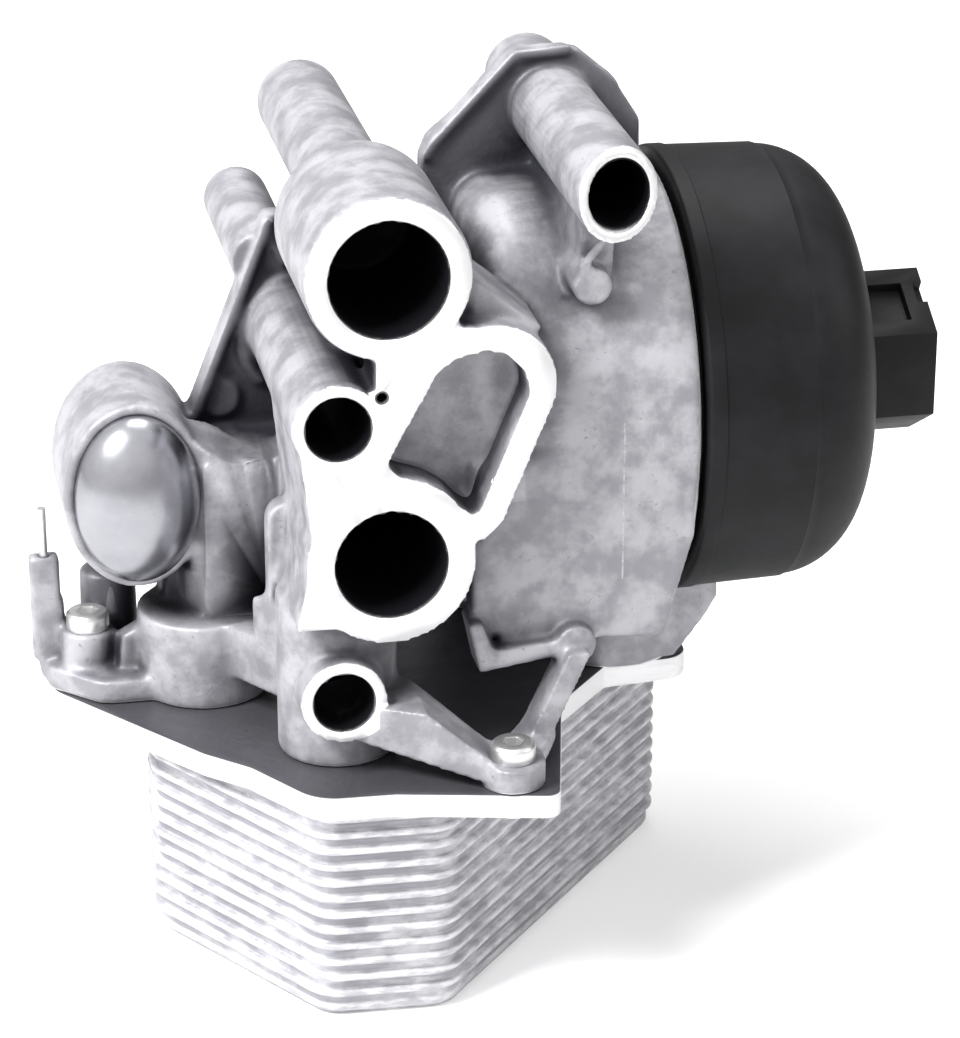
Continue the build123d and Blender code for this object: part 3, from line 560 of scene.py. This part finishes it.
def baked(piece):
    """Applies the live modifiers and puts the place into the mesh."""
    graph = bpy.context.evaluated_depsgraph_get()
    mesh = bpy.data.meshes.new_from_object(piece.evaluated_get(graph))
    mesh.transform(piece.matrix_world)
    piece.modifiers.clear()
    piece.data = mesh
    piece.matrix_world = Matrix.Identity(4)
    return piece


def smooth_over(piece, angle):
    """Smooth shading, with edges sharper than angle left crisp."""
    piece.data.shade_smooth()
    limit = math.radians(angle)
    with reworked(piece.data) as work:
        for edge in work.edges:
            edge.smooth = not (len(edge.link_faces) == 2 and edge.calc_face_angle(0.0) > limit)


def arc(centre, r, start, end, steps):
    turns = [math.radians(start + (end - start) * i / steps) for i in range(steps + 1)]
    return [(centre[0] + r * math.cos(t), centre[1] + r * math.sin(t)) for t in turns]


def coordinates(mesh):
    values = np.zeros(len(mesh.vertices) * 3)
    mesh.vertices.foreach_get("co", values)
    return values.reshape(-1, 3)


def edge_pairs(mesh):
    pairs = np.zeros(len(mesh.edges) * 2, np.int64)
    mesh.edges.foreach_get("vertices", pairs)
    return pairs.reshape(-1, 2)


def neighbour_mean(points, pairs):
    a, b = pairs[:, 0], pairs[:, 1]
    count = np.bincount(a, minlength=len(points)) + np.bincount(b, minlength=len(points))
    total = np.zeros_like(points)
    for k in range(points.shape[1]):
        total[:, k] = np.bincount(a, points[b, k], len(points)) + np.bincount(b, points[a, k], len(points))
    return total / np.maximum(count, 1)[:, None]


def thread_rise(x, turn):
    """Height of the sleeve's screw thread at a place along it, fading out at both ends."""
    end_x = cap_start_x - 1.0
    phase = ((x - thread_start_x) / thread_pitch - turn / (2 * math.pi)) % 1.0
    ridge = max(0.0, 1.0 - abs(phase - 0.5) * 3.2)
    fade = min(1.0, max(0.0, x - thread_start_x), max(0.0, end_x - x))
    return thread_height * (ridge * fade - 0.8 * fade)


def lathe(profile, steps, name):
    """Closed ring surface turned about the filter axis from (x, radius) points, with the sleeve's thread."""
    rows = []
    for i in range(steps):
        turn = 2 * math.pi * i / steps
        for x, r in profile:
            if abs(r - sleeve_r) < 0.01:
                r += thread_rise(x, turn)
            rows.append((x * mm, (filter_y + r * math.cos(turn)) * mm, (filter_z + r * math.sin(turn)) * mm))
    n = len(profile)
    faces = []
    for i in range(steps):
        j = (i + 1) % steps
        for k in range(n):
            m = (k + 1) % n
            faces.append((i * n + k, i * n + m, j * n + m, j * n + k))
    return closed_piece(name, rows, faces, merge=True)


# Casting

def fillet_corners(mesh, held, rounds, fill, wear):
    """Relaxes the surface: inner corners fill up as cast ones do, outer edges only lose their sharpness."""
    pairs = edge_pairs(mesh)
    points = coordinates(mesh)
    normals = np.zeros(len(mesh.vertices) * 3)
    for i in range(rounds):
        if i % 4 == 0:
            mesh.vertices.foreach_set("co", points.ravel())
            mesh.update()
            mesh.vertices.foreach_get("normal", normals)
            outward = normals.reshape(-1, 3)
        step = neighbour_mean(points, pairs) - points
        rise = np.einsum("ij,ij->i", step, outward)
        amount = np.where(rise > 0, fill, wear) * held
        points = points + step * amount[:, None]
    mesh.vertices.foreach_set("co", points.ravel())
    mesh.update()


def shelter_of(mesh, reaches, rays):
    """How closed-in each vertex is for each reach, 0 open to 1 buried, from rays over its half space."""
    work = bmesh.new()
    work.from_mesh(mesh)
    tree = BVHTree.FromBMesh(work)
    work.free()
    golden = math.pi * (3 - math.sqrt(5))
    spread = []
    for i in range(rays):
        height = 1 - (i + 0.5) / rays
        flat = math.sqrt(1 - height * height)
        spread.append(Vector((flat * math.cos(golden * i), flat * math.sin(golden * i), height)))
    values = np.zeros((len(mesh.vertices), len(reaches)))
    for i, vertex in enumerate(mesh.vertices):
        turn = Vector((0, 0, 1)).rotation_difference(vertex.normal)
        start = vertex.co + vertex.normal * 0.4 * mm
        for ray in spread:
            hit = tree.ray_cast(start, turn @ ray, reaches[0])
            if hit[0] is not None:
                for k, reach in enumerate(reaches):
                    values[i, k] += max(0.0, 1 - hit[3] / reach) / rays
    return values


def bead(work, points, r):
    """Round bar along a line of places in millimetres, which the remesh joins to the casting."""
    ends = [Vector(p) * mm for p in points]
    for a, b in zip(ends, ends[1:]):
        place = Matrix.Translation((a + b) / 2) @ (b - a).to_track_quat("Z", "Y").to_matrix().to_4x4()
        bmesh.ops.create_cone(work, cap_ends=True, segments=10, radius1=r * mm, radius2=r * mm,
                              depth=(b - a).length, matrix=place)
    for p in ends:
        bmesh.ops.create_icosphere(work, subdivisions=2, radius=r * mm, matrix=Matrix.Translation(p))


def ring_points(centre, r, y, start, end, steps):
    return [(x, y, z) for x, z in arc(centre, r, start, end, steps)]


def round_hull(circles):
    """Convex outline round circles given as (x, y, radius)."""
    points = []
    for x, y, r in circles:
        points += [Vector(p) for p in arc((x, y), r, 0, 360, 48)[:-1]]
    return [points[i] for i in geometry.convex_hull_2d(points)]


def prism(work, outline, y0, y1):
    """Straight piece along Y over an outline of (x, z) places in millimetres."""
    front = [work.verts.new((x * mm, y0 * mm, z * mm)) for x, z in outline]
    rear = [work.verts.new((x * mm, y1 * mm, z * mm)) for x, z in outline]
    faces = [work.faces.new(front), work.faces.new(rear[::-1])]
    for i in range(len(outline)):
        j = (i + 1) % len(outline)
        faces.append(work.faces.new((front[j], front[i], rear[i], rear[j])))
    bmesh.ops.recalc_face_normals(work, faces=faces)


def rod(work, place, r, y0, y1):
    """Round bar along Y at an (x, z) place in millimetres."""
    middle = Matrix.Translation(Vector((place[0], (y0 + y1) / 2, place[1])) * mm)
    bmesh.ops.create_cone(work, cap_ends=True, segments=48, radius1=r * mm, radius2=r * mm,
                          depth=(y1 - y0) * mm, matrix=middle @ Matrix.Rotation(math.pi / 2, 4, "X"))


def mouth_ring(work):
    """Front end of the upper bolt tube, out to its leaning mouth."""
    steps = 64
    rows = []
    for i in range(steps):
        turn = 2 * math.pi * i / steps
        row = []
        for r, deep in ((tube_bore_r, False), (tube_r, False), (tube_r, True), (tube_bore_r, True)):
            dx, dz = r * math.cos(turn), r * math.sin(turn)
            y = mouth_ring_y if deep else mouth_lean_x * dx + mouth_lean_z * dz
            row.append(work.verts.new(((top_bolt[0] + dx) * mm, y * mm, (top_bolt[1] + dz) * mm)))
        rows.append(row)
    faces = []
    for i in range(steps):
        here, there = rows[i], rows[(i + 1) % steps]
        for k in range(4):
            m = (k + 1) % 4
            faces.append(work.faces.new((here[k], here[m], there[m], there[k])))
    bmesh.ops.recalc_face_normals(work, faces=faces)


def sloped_column(work):
    """Round column between the domed cover and the neck, its top cut on a slope."""
    x, y, r = -24.0, 41.5, 5.6
    low, high, slope_z = -80.0, -37.5, -42.5
    part = bmesh.new()
    middle = Matrix.Translation(Vector((x, y, (low + high) / 2)) * mm)
    bmesh.ops.create_cone(part, cap_ends=True, segments=32, radius1=r * mm, radius2=r * mm,
                          depth=(high - low) * mm, matrix=middle)
    cut_off(part, (x, y, slope_z), (0.55, -0.25, 1))
    fill_holes(part)
    mesh = mesh_of(part, "column")
    work.from_mesh(mesh)
    bpy.data.meshes.remove(mesh)


def box(work, low, high):
    """Block between its low and high corner in millimetres."""
    size = Vector(high) - Vector(low)
    place = Matrix.Translation((Vector(low) + size / 2) * mm) @ Matrix.Diagonal((*(size * mm), 1))
    bmesh.ops.create_cube(work, size=1.0, matrix=place)


def carve(piece, work):
    """Cuts the closed shapes in work out of a piece."""
    cutter = add_piece("cutter", mesh_of(work, "cutter"))
    cut = piece.modifiers.new("cut", "BOOLEAN")
    cut.operation = "DIFFERENCE"
    cut.object = cutter
    cut.solver = "MANIFOLD"
    baked(piece)
    bpy.data.objects.remove(cutter)


def pocket_fill():
    """What narrows the flange's pocket to its cast outline and closes it with a floor."""
    work = bmesh.new()
    prism(work, round_hull([(x, z, r + 1.5) for x, z, r in pocket_lobes]), 0.0, 18.0)
    fill = add_piece("pocket_fill", mesh_of(work, "pocket_fill"))
    work = bmesh.new()
    prism(work, pocket_edge, -1.0, pocket_depth)
    carve(fill, work)
    return fill


# Walls added to the casting: the outline in x and z, then the front and the rear in y
notch_outline = [(-2.2, -12.0), (-2.6, -19.5), (2.0, -24.0), (6.0, -17.0), (6.0, -12.0)]
pocket_step = [(pocket_step_x, -15), (23, -17), (23, -27), (pocket_step_x, -38)]
left_foot_wall = [(-43, -89), (-34, -89), (-34, -75), (-42, -79)]
bowl_gusset = [(50, -64), (66, -74), (66, -77), (64, -80.5), (58, -88.5), (50, -88.5)]
right_web = [(15.0, 4.0), (16.0, 6.0), (31.5, 22.5), (41.5, 22.6), (49.5, 17.0), (54.9, 8.5),
             (54.9, -10.0), (15.0, -14.0)]
neck_box = [(-29, -76), (-19, -76), (-19, -44), (-29, -44)]
added_walls = [
    (notch_outline, 0.0, 12.0),
    (pocket_step, pocket_depth - 0.5, pocket_depth + 1),
    (left_foot_wall, 41.5, 46.0),
    (bowl_gusset, 33.0, 37.5),
    (right_web, 52.0, 56.5),
    (neck_box, 42.0, 60.0),
]
left_post, left_post_height = (-43.0, 54.5, -80.0), 19.0
port_end_r, port_end_y = 12.0, (34.0, 37.6)
check_seat_r, check_seat_y = 4.0, (33, 41)
neck_gap = ((-28, 26, -73.9), (-14.3, 35.8, -44))
rim_y = 51.6

# Beads laid on the casting: their places and the bar's radius
added_beads = [
    ([(16.0, rim_y, 4.4), (17.0, rim_y, 6.2), (31.9, rim_y, 21.8), (41.3, rim_y, 22.3)], 1.0),
    ([(-13.2, rim_y, -6.2), (-9.6, rim_y, -13.5)], 1.1),
    (ring_points((-6.4, -27.4), 11.1, 51.4, 100, 225, 12), 1.2),
    (ring_points(ejector_mark, 3.3, 51.3, 0, 360, 20), 0.5),
    ([(19.8, 16.0, -15.5), (19.3, 16.0, -30.5)], 0.8),
    ([(38.6, 9.0, 2.0), (35.0, 11.5, -4.0)], 0.9),
]


def cast_details(piece):
    """Adds the pocket's fill, walls, post, the upper port's end, the tube's mouth, the column and beads."""
    fill = pocket_fill()
    with reworked(piece.data) as work:
        work.from_mesh(fill.data)
        bpy.data.objects.remove(fill)
        for outline, front, rear in added_walls:
            prism(work, outline, front, rear)
        bmesh.ops.create_cone(work, cap_ends=True, segments=32, radius1=5.4 * mm, radius2=5.0 * mm,
                              depth=left_post_height * mm,
                              matrix=Matrix.Translation(Vector(left_post) * mm))
        rod(work, upper_port, port_end_r, *port_end_y)
        mouth_ring(work)
        sloped_column(work)
        for places, r in added_beads:
            bead(work, places, r)


def carve_details(piece):
    """Opens the gap beside the neck, the pin hole and the check valve's seat."""
    work = bmesh.new()
    box(work, *neck_gap)
    rod(work, pin_hole, pin_hole_r, -pin_hole_depth, pin_hole_depth)
    rod(work, check_bore, check_seat_r, *check_seat_y)
    carve(piece, work)


def flatten_mouth(points):
    """Brings the upper bolt tube's mouth back onto its leaning plane. Points are in millimetres."""
    dx, dz = points[:, 0] - top_bolt[0], points[:, 2] - top_bolt[1]
    leaning = mouth_lean_x * dx + mouth_lean_z * dz
    proud = (np.hypot(dx, dz) < tube_r + 0.6) & (points[:, 1] < leaning)
    points[proud, 1] = leaning[proud]


def free_to_relax(points):
    """0 on milled faces and the holes' edges, which stay crisp, up to 1 on the cast skin."""
    free = np.clip((points[:, 1] - 0.7) / 2.0, 0, 1)
    for (x, z), r, depth in port_holes:
        away = np.hypot(points[:, 0] - x, points[:, 2] - z) - r
        free *= np.clip((away - 0.4) / 1.2, 0, 1)
    behind_mouth = -(points - np.array((top_bolt[0], 0, top_bolt[1]))) @ np.array(mouth_direction)
    near_tube = np.hypot(points[:, 0] - top_bolt[0], points[:, 2] - top_bolt[1]) < tube_r + 1.5
    return np.where(near_tube, np.minimum(free, np.clip((behind_mouth - 0.6) / 2.0, 0, 1)), free)


def store_shelter(mesh):
    """Keeps on each vertex how closed-in it is, widely and narrowly, softened over its neighbours; the
    material paints shade from these.
    """
    values = shelter_of(mesh, (22.0 * mm, 7.0 * mm), skin_rays)
    pairs = edge_pairs(mesh)
    for i in range(3):
        values = (values + neighbour_mean(values, pairs)) / 2
    for column, name in enumerate(("shelter", "crevice")):
        layer = mesh.attributes.new(name, "FLOAT", "POINT")
        layer.data.foreach_set("value", np.ascontiguousarray(values[:, column]))


def bare_casting():
    body = merged_copy("housing", "housing_casting")
    cast_details(body)
    remesh = body.modifiers.new("skin", "REMESH")
    remesh.mode = "VOXEL"
    remesh.voxel_size = skin_cell * mm
    baked(body)
    carve_details(body)
    points = coordinates(body.data) / mm
    flatten_mouth(points)
    body.data.vertices.foreach_set("co", (points * mm).ravel())
    fillet_corners(body.data, free_to_relax(points), skin_rounds, 0.8, 0.25)
    thin = body.modifiers.new("thin", "DECIMATE")
    thin.ratio = min(1.0, skin_faces / max(1, len(body.data.polygons)))
    baked(body)
    body.data.shade_smooth()
    store_shelter(body.data)
    stands_for(body, "housing", "base")


bare_casting()


# Cap

def cap_shell():
    rim = 0.7
    round_x, flat_r = cap_end_x - cap_shoulder, cap_r - cap_shoulder - 2
    inner_x, inner_sleeve_r = cap_end_x - cap_wall, sleeve_r - sleeve_wall
    outside = arc((cap_start_x + rim, cap_r - rim), rim, 180, 90, 4)
    outside += [(cap_start_x + 3.0, cap_r), (cap_start_x + 3.2, cap_r - 0.25)]
    outside += [(cap_start_x + 5.0, cap_r - 0.3), (round_x, cap_r - 0.7)]
    outside += arc((round_x, cap_r - 1.0 - cap_shoulder), cap_shoulder, 88, 2, 18)
    outside += [(cap_end_x, flat_r), (cap_end_x, 0.5)]
    inside = [(inner_x, 0.5), (inner_x, flat_r), (round_x, cap_r - cap_wall - 3.5)]
    inside += [(cap_start_x, inner_sleeve_r), (sleeve_start_x, inner_sleeve_r)]
    sleeve = [(sleeve_start_x, sleeve_r - 0.6), (sleeve_start_x + 0.6, sleeve_r)]
    groove_start, groove_end, groove_r = sleeve_start_x + 1.8, sleeve_start_x + 5.4, sleeve_r - groove_depth
    sleeve += [(groove_start, sleeve_r), (groove_start, groove_r)]
    sleeve += [(groove_end, groove_r), (groove_end, sleeve_r)]
    rows = int((cap_start_x - thread_start_x) / thread_row)
    sleeve += [(thread_start_x + i * thread_row, sleeve_r) for i in range(rows)]
    sleeve += [(cap_start_x, sleeve_r)]
    return lathe(outside + inside + sleeve, 180, "filter_cap")


def soften(piece, width):
    """Breaks the edges sharper than 30 degrees by a width in millimetres."""
    edge = piece.modifiers.new("edge", "BEVEL")
    edge.width = width * mm
    edge.segments = 2
    edge.limit_method = "ANGLE"
    edge.angle_limit = math.radians(30)
    baked(piece)


def dissolve_flat(work, angle):
    bmesh.ops.dissolve_limit(work, angle_limit=math.radians(angle), verts=work.verts, edges=work.edges)


def dressed_cap():
    """The turned shell, and the CAD cap's hexagon with its root inside the shell's end."""
    cap = cap_shell()
    smooth_over(cap, 28)
    wrench = merged_copy("cap", "cap_hexagon")
    with reworked(wrench.data) as work:
        cut_off(work, (cap_end_x + 0.05, 0, 0), (-1, 0, 0))
        root = [e for e in work.edges if e.is_boundary]
        for edge in root:
            for vert in edge.verts:
                vert.co.x = (cap_end_x - wrench_root) * mm
        bmesh.ops.holes_fill(work, edges=root)
        dissolve_flat(work, 2)
    soften(wrench, 0.5)
    smooth_over(wrench, 32)
    give_finish(wrench, "cap_plastic")
    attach(wrench, "cap")
    stands_for(cap, "cap", "cap")


dressed_cap()


# Domed cover

def domed_cover():
    """Pressed dome on an oval, with a rolled edge and a skirt into the casting."""
    steps, rings = 96, 22
    rows, faces, profile = [], [], []
    for i in range(rings + 1):
        t = math.radians(90 * i / rings)
        profile.append((math.sin(t), -cover_bulge * math.cos(t)))
    profile += [(0.99, 0.8), (0.98, 4.6), (0.88, 4.6)]
    for i in range(rings, 0, -1):
        t = math.radians(90 * i / rings)
        profile.append((0.87 * math.sin(t), -(cover_bulge - cover_wall) * math.cos(t)))
    n = len(profile)
    for j in range(steps):
        turn = 2 * math.pi * j / steps
        for r, y in profile:
            rows.append(((cover_centre[0] + cover_half[0] * r * math.cos(turn)) * mm,
                         (cover_face_y + y) * mm,
                         (cover_centre[1] + cover_half[1] * r * math.sin(turn)) * mm))
    for j in range(steps):
        k = (j + 1) % steps
        for i in range(n - 1):
            faces.append((j * n + i, j * n + i + 1, k * n + i + 1, k * n + i))
    cover = closed_piece("domed_cover_press", rows, faces, merge=True)
    smooth_over(cover, 40)
    stands_for(cover, "domed_cover", "base")


domed_cover()


# Cooler

def rounded_plan(steps):
    """Points and outward directions round the plate's plan, in millimetres."""
    points = [Vector(p) for p in stack_plan]
    places, outward = [], []
    count = len(points)
    for i in range(count):
        before, here, after = points[i - 1], points[i], points[(i + 1) % count]
        a = (before - here).normalized()
        b = (after - here).normalized()
        half = a.angle(b) / 2
        centre = here + (a + b).normalized() * (stack_corner_r / math.sin(half))
        first = here + a * (stack_corner_r / math.tan(half)) - centre
        last = here + b * (stack_corner_r / math.tan(half)) - centre
        sweep = first.angle_signed(last)
        for k in range(steps + 1):
            turn = -sweep * k / steps
            way = Vector((first.x * math.cos(turn) - first.y * math.sin(turn),
                          first.x * math.sin(turn) + first.y * math.cos(turn)))
            places.append(centre + way)
            outward.append(way.normalized())
    return places, outward


def walk_plan(places, outward, spacing):
    """The same outline with extra points along its straight sides."""
    dense, ways = [], []
    for i in range(len(places)):
        a, b = places[i], places[(i + 1) % len(places)]
        parts = max(1, int((b - a).length / spacing))
        for k in range(parts):
            t = k / parts
            dense.append(a.lerp(b, t))
            ways.append(outward[i].lerp(outward[(i + 1) % len(places)], t).normalized())
    return dense, ways


def sheet(places, outward, profile, name):
    """Closed piece swept round an outline from (outward, z) points in millimetres."""
    rows, faces = [], []
    n = len(profile)
    for place, way in zip(places, outward):
        for out, z in profile:
            p = place + way * out
            rows.append((p.x * mm, p.y * mm, z * mm))
    total = len(places)
    for i in range(total):
        j = (i + 1) % total
        for k in range(n - 1):
            faces.append((i * n + k, i * n + k + 1, j * n + k + 1, j * n + k))
    faces.append([i * n for i in range(total)][::-1])
    faces.append([i * n + n - 1 for i in range(total)])
    return closed_piece(name, rows, faces)


def stack_outline():
    return walk_plan(*rounded_plan(6), 3.0)


def one_plate():
    """One nested cup: a rolled rim standing proud and a wall that leans in below it."""
    lean = plate_step
    profile = [(-6.0, 0.0), (-0.7, 0.0), (-0.2, -0.15), (0.0, -0.5), (-0.05, -0.95), (-0.4, -1.25),
               (-0.95 * lean, -1.6), (-1.2 * lean, -2.3), (-1.15 * lean, -3.1), (-6.0, -3.1)]
    return sheet(*stack_outline(), profile, "one_plate")


def stack_tree(plate, finish):
    """Geometry tree that repeats one plate downwards and joins the copies."""
    tree = bpy.data.node_groups.new("plate stack", "GeometryNodeTree")
    inputs = (("Count", "NodeSocketInt", plate_count), ("Pitch", "NodeSocketFloat", plate_pitch * mm))
    for label, kind, value in inputs:
        tree.interface.new_socket(label, in_out="INPUT", socket_type=kind).default_value = value
    tree.interface.new_socket("Geometry", in_out="OUTPUT", socket_type="NodeSocketGeometry")
    start = tree.nodes.new("NodeGroupInput")
    end = tree.nodes.new("NodeGroupOutput")
    drop = node(tree, "ShaderNodeCombineXYZ", Z=product(tree, start.outputs["Pitch"], -1))
    line = node(tree, "GeometryNodeMeshLine", {"mode": "OFFSET"}, Count=start.outputs["Count"],
                Start_Location=(0, 0, (base_z - base_thickness) * mm), Offset=drop.outputs[0])
    source = node(tree, "GeometryNodeObjectInfo", Object=plate)
    copies = node(tree, "GeometryNodeInstanceOnPoints", Points=line.outputs[0],
                  Instance=source.outputs["Geometry"])
    real = node(tree, "GeometryNodeRealizeInstances", Geometry=copies.outputs[0])
    painted = node(tree, "GeometryNodeSetMaterial", Geometry=real.outputs[0], Material=finish)
    tree.links.new(painted.outputs[0], end.inputs[0])
    return tree


def end_plate():
    low, high = floor_z, floor_z + end_plate_thickness
    profile = [(-4.0, high), (-1.0, high), (-1.0, low + 1.2), (-1.5, low + 0.4), (-2.4, low), (-4.0, low)]
    plate = sheet(*stack_outline(), profile, "bottom_plate")
    smooth_over(plate, 50)
    stands_for(plate, "cooler_end_plate", "base")


def way_out(outline, way):
    """How far from the cooler's centre a straight way leaves a convex outline."""
    far = 0.0
    for a, b in zip(outline, outline[1:] + outline[:1]):
        a, b = a - Vector(cooler_centre), b - Vector(cooler_centre)
        side = b - a
        below = way.x * side.y - way.y * side.x
        if abs(below) > 1e-9:
            along = (a.x * side.y - a.y * side.x) / below
            part = (a.x * way.y - a.y * way.x) / below
            if -1e-6 <= part <= 1 + 1e-6:
                far = max(far, along)
    return far


def top_plate():
    """Thick plate under the casting: the stack's outline, a front corner, a left wing and the bolt ears."""
    places, outward = rounded_plan(8)
    outlines = [[p + way * base_margin for p, way in zip(places, outward)]]
    outlines.append(round_hull([(x, y, 2.5) for x, y in front_corner]))
    outlines.append(round_hull(left_wing))
    for x, y, r in ears:
        root = (x + (cooler_centre[0] - x) * 0.35, y + (cooler_centre[1] - y) * 0.35)
        outlines.append(round_hull([(x, y, r), (*root, r * 1.5)]))
    steps = 720
    edge = []
    for i in range(steps):
        way = Vector((math.cos(2 * math.pi * i / steps), math.sin(2 * math.pi * i / steps)))
        edge.append(Vector(cooler_centre) + way * max(way_out(outline, way) for outline in outlines))
    ways = []
    for i in range(steps):
        along = edge[(i + 1) % steps] - edge[i - 1]
        ways.append(Vector((along.y, -along.x)).normalized())
    low, high = base_z - base_thickness, base_z
    profile = [(-1.4, high), (-0.4, high), (-0.1, high - 0.15), (0.0, high - 0.5),
               (0.0, low + 0.5), (-0.1, low + 0.15), (-0.4, low), (-1.4, low)]
    plate = sheet(edge, ways, profile, "cooler_top_plate")
    smooth_over(plate, 40)
    stands_for(plate, "cooler_base_plate", "base")


def plate_stack():
    plate = one_plate()
    stack = add_piece("cooler_plates", bpy.data.meshes.new("cooler_plates"))
    repeat = stack.modifiers.new("repeat", "NODES")
    repeat.node_group = stack_tree(plate, finishes["cooler_aluminium"])
    baked(stack)
    bpy.data.objects.remove(plate)
    smooth_over(stack, 50)
    stands_for(stack, "cooler_plate_stack", "base")


plate_stack()
end_plate()
top_plate()


def cooler_screws():
    """The CAD bolts' own shape with their edges broken."""
    screws = merged_copy("cooler_bolts", "cooler_screws")
    with reworked(screws.data) as work:
        dissolve_flat(work, 1)
    soften(screws, 0.2)
    smooth_over(screws, 34)
    stands_for(screws, "cooler_bolts", "base")


cooler_screws()


# Springs

def coil(start, axis, wire, r, length, turns, name):
    """Compression spring with closed ends, from its start place along an axis, in millimetres."""
    sides, steps = 12, int(turns + 2) * 30
    along = Vector(axis)
    side = along.orthogonal().normalized()
    other = along.cross(side)
    lines = []
    for i in range(steps + 1):
        t = i / steps
        closed = 0.5 + 0.5 * math.cos(math.pi * min(1.0, min(t, 1 - t) * (turns + 1.5)))
        turn = 2 * math.pi * (turns + 1.0) * t
        even = wire / 2 + (length - wire) * t
        touching = wire / 2 + wire * (turns + 1.0) * min(t, 1 - t)
        packed = touching if t < 0.5 else length - touching
        rise = even + (packed - even) * closed
        lines.append((turn, rise))
    rows, faces = [], []
    for turn, rise in lines:
        out = side * math.cos(turn) + other * math.sin(turn)
        for k in range(sides):
            round_turn = 2 * math.pi * k / sides
            height = min(max(rise + wire / 2 * math.sin(round_turn), 0.0), length)
            p = Vector(start) + along * height + out * (r + wire / 2 * math.cos(round_turn))
            rows.append(p * mm)
    for i in range(len(lines) - 1):
        for k in range(sides):
            m = (k + 1) % sides
            faces.append((i * sides + k, i * sides + m, (i + 1) * sides + m, (i + 1) * sides + k))
    faces.append(list(range(sides))[::-1])
    faces.append([len(rows) - sides + k for k in range(sides)])
    piece = closed_piece(name, rows, faces)
    smooth_over(piece, 50)
    return piece


def springs():
    valve = coil((76.16, filter_y, filter_z), (1, 0, 0), 1.0, 5.5, 10.18, 5, "bypass_coil")
    stands_for(valve, "bypass_spring", "cap")
    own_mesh(valve)
    valve = coil((0, 49.59, 3.0), (0, 1, 0), 0.9, 3.6, 17.0, 6, "check_coil")
    stands_for(valve, "check_spring", "base")
    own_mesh(valve)
    place = (cover_centre[0], 33.08, cover_centre[1])
    valve = coil(place, (0, 1, 0), 1.2, 5.4, 23.2, 7, "relief_coil")
    stands_for(valve, "relief_spring", "base")
    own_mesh(valve)


springs()

for name, piece in frame["nodes"].items():
    if not piece.hide_render:
        give_finish(piece, slot_of[name])
# painted shade: the check ball reads near black inside the port
frame["nodes"]["check_ball"].data.materials[0] = dark_ball


# Floor, light and camera, with their places in metres

def floor():
    work = bmesh.new()
    bmesh.ops.create_grid(work, x_segments=1, y_segments=1, size=6.0)
    mesh = mesh_of(work, "floor")
    mesh.transform(Matrix.Translation((0, 0, floor_z * mm)))
    ground = add_piece("floor", mesh)
    made, tree, shader = start_material("pale floor", 0.0, 0.8)
    shader.inputs["Base Color"].default_value = (0.93, 0.93, 0.93, 1)
    path = tree.nodes.new("ShaderNodeLightPath")
    tree.links.new(product(tree, path.outputs["Is Camera Ray"], 0.34), shader.inputs["Emission Strength"])
    shader.inputs["Emission Color"].default_value = (1, 1, 1, 1)
    shader.inputs["Specular IOR Level"].default_value = 0.1
    mesh.materials.append(made)


def light(name, place, target, size, power):
    data = bpy.data.lights.new(name, "AREA")
    data.size = size
    data.energy = power
    lamp = bpy.data.objects.new(name, data)
    bpy.context.scene.collection.objects.link(lamp)
    lamp.location = place
    lamp.rotation_euler = (Vector(place) - Vector(target)).to_track_quat("Z", "Y").to_euler()


def studio():
    middle = (0.02, 0.04, -0.05)
    light("key", (-0.62, -0.24, 0.72), middle, 0.35, 15.5)
    light("side", (0.80, -0.20, 0.35), middle, 0.5, 1.6)
    light("top", (0.1, 0.35, 0.9), middle, 0.5, 4.0)
    world = bpy.data.worlds.new("studio")
    bpy.context.scene.world = world
    world.use_nodes = True
    tree = world.node_tree
    back = tree.nodes["Background"]
    back.inputs["Color"].default_value = (1, 1, 1, 1)
    path = tree.nodes.new("ShaderNodeLightPath")
    where = tree.nodes.new("ShaderNodeTexCoord")
    high = vector_maths(tree, "DOT_PRODUCT", where.outputs["Generated"], (-0.55, -0.30, 0.78), 1)
    glow = ramp_between(tree, high, -0.7, 1.0)
    plain, mirrored = blend_number(tree, glow, 0.10, 0.50), blend_number(tree, glow, 0.12, 1.25)
    strength = blend_number(tree, path.outputs["Is Glossy Ray"], plain, mirrored)
    strength = blend_number(tree, path.outputs["Is Camera Ray"], strength, 1.0)
    tree.links.new(strength, back.inputs["Strength"])


def camera():
    """Looks from the front, a little from the left and from above, as the photograph does."""
    azimuth, elevation = math.radians(-11.5), math.radians(23.0)
    picture_height, focal_length = 1038, 3745
    data = bpy.data.cameras.new("camera")
    data.sensor_width = 36
    data.lens = data.sensor_width * focal_length / picture_height
    data.clip_end = 50
    made = bpy.data.objects.new("camera", data)
    bpy.context.scene.collection.objects.link(made)
    back = Vector((math.sin(azimuth) * math.cos(elevation), -math.cos(azimuth) * math.cos(elevation),
                   math.sin(elevation)))
    made.location = (-0.1008, -0.5698, 0.2033)
    made.rotation_euler = back.to_track_quat("Z", "Y").to_euler()
    bpy.context.scene.camera = made


floor()
studio()
camera()
bpy.context.scene.view_settings.view_transform = "Standard"
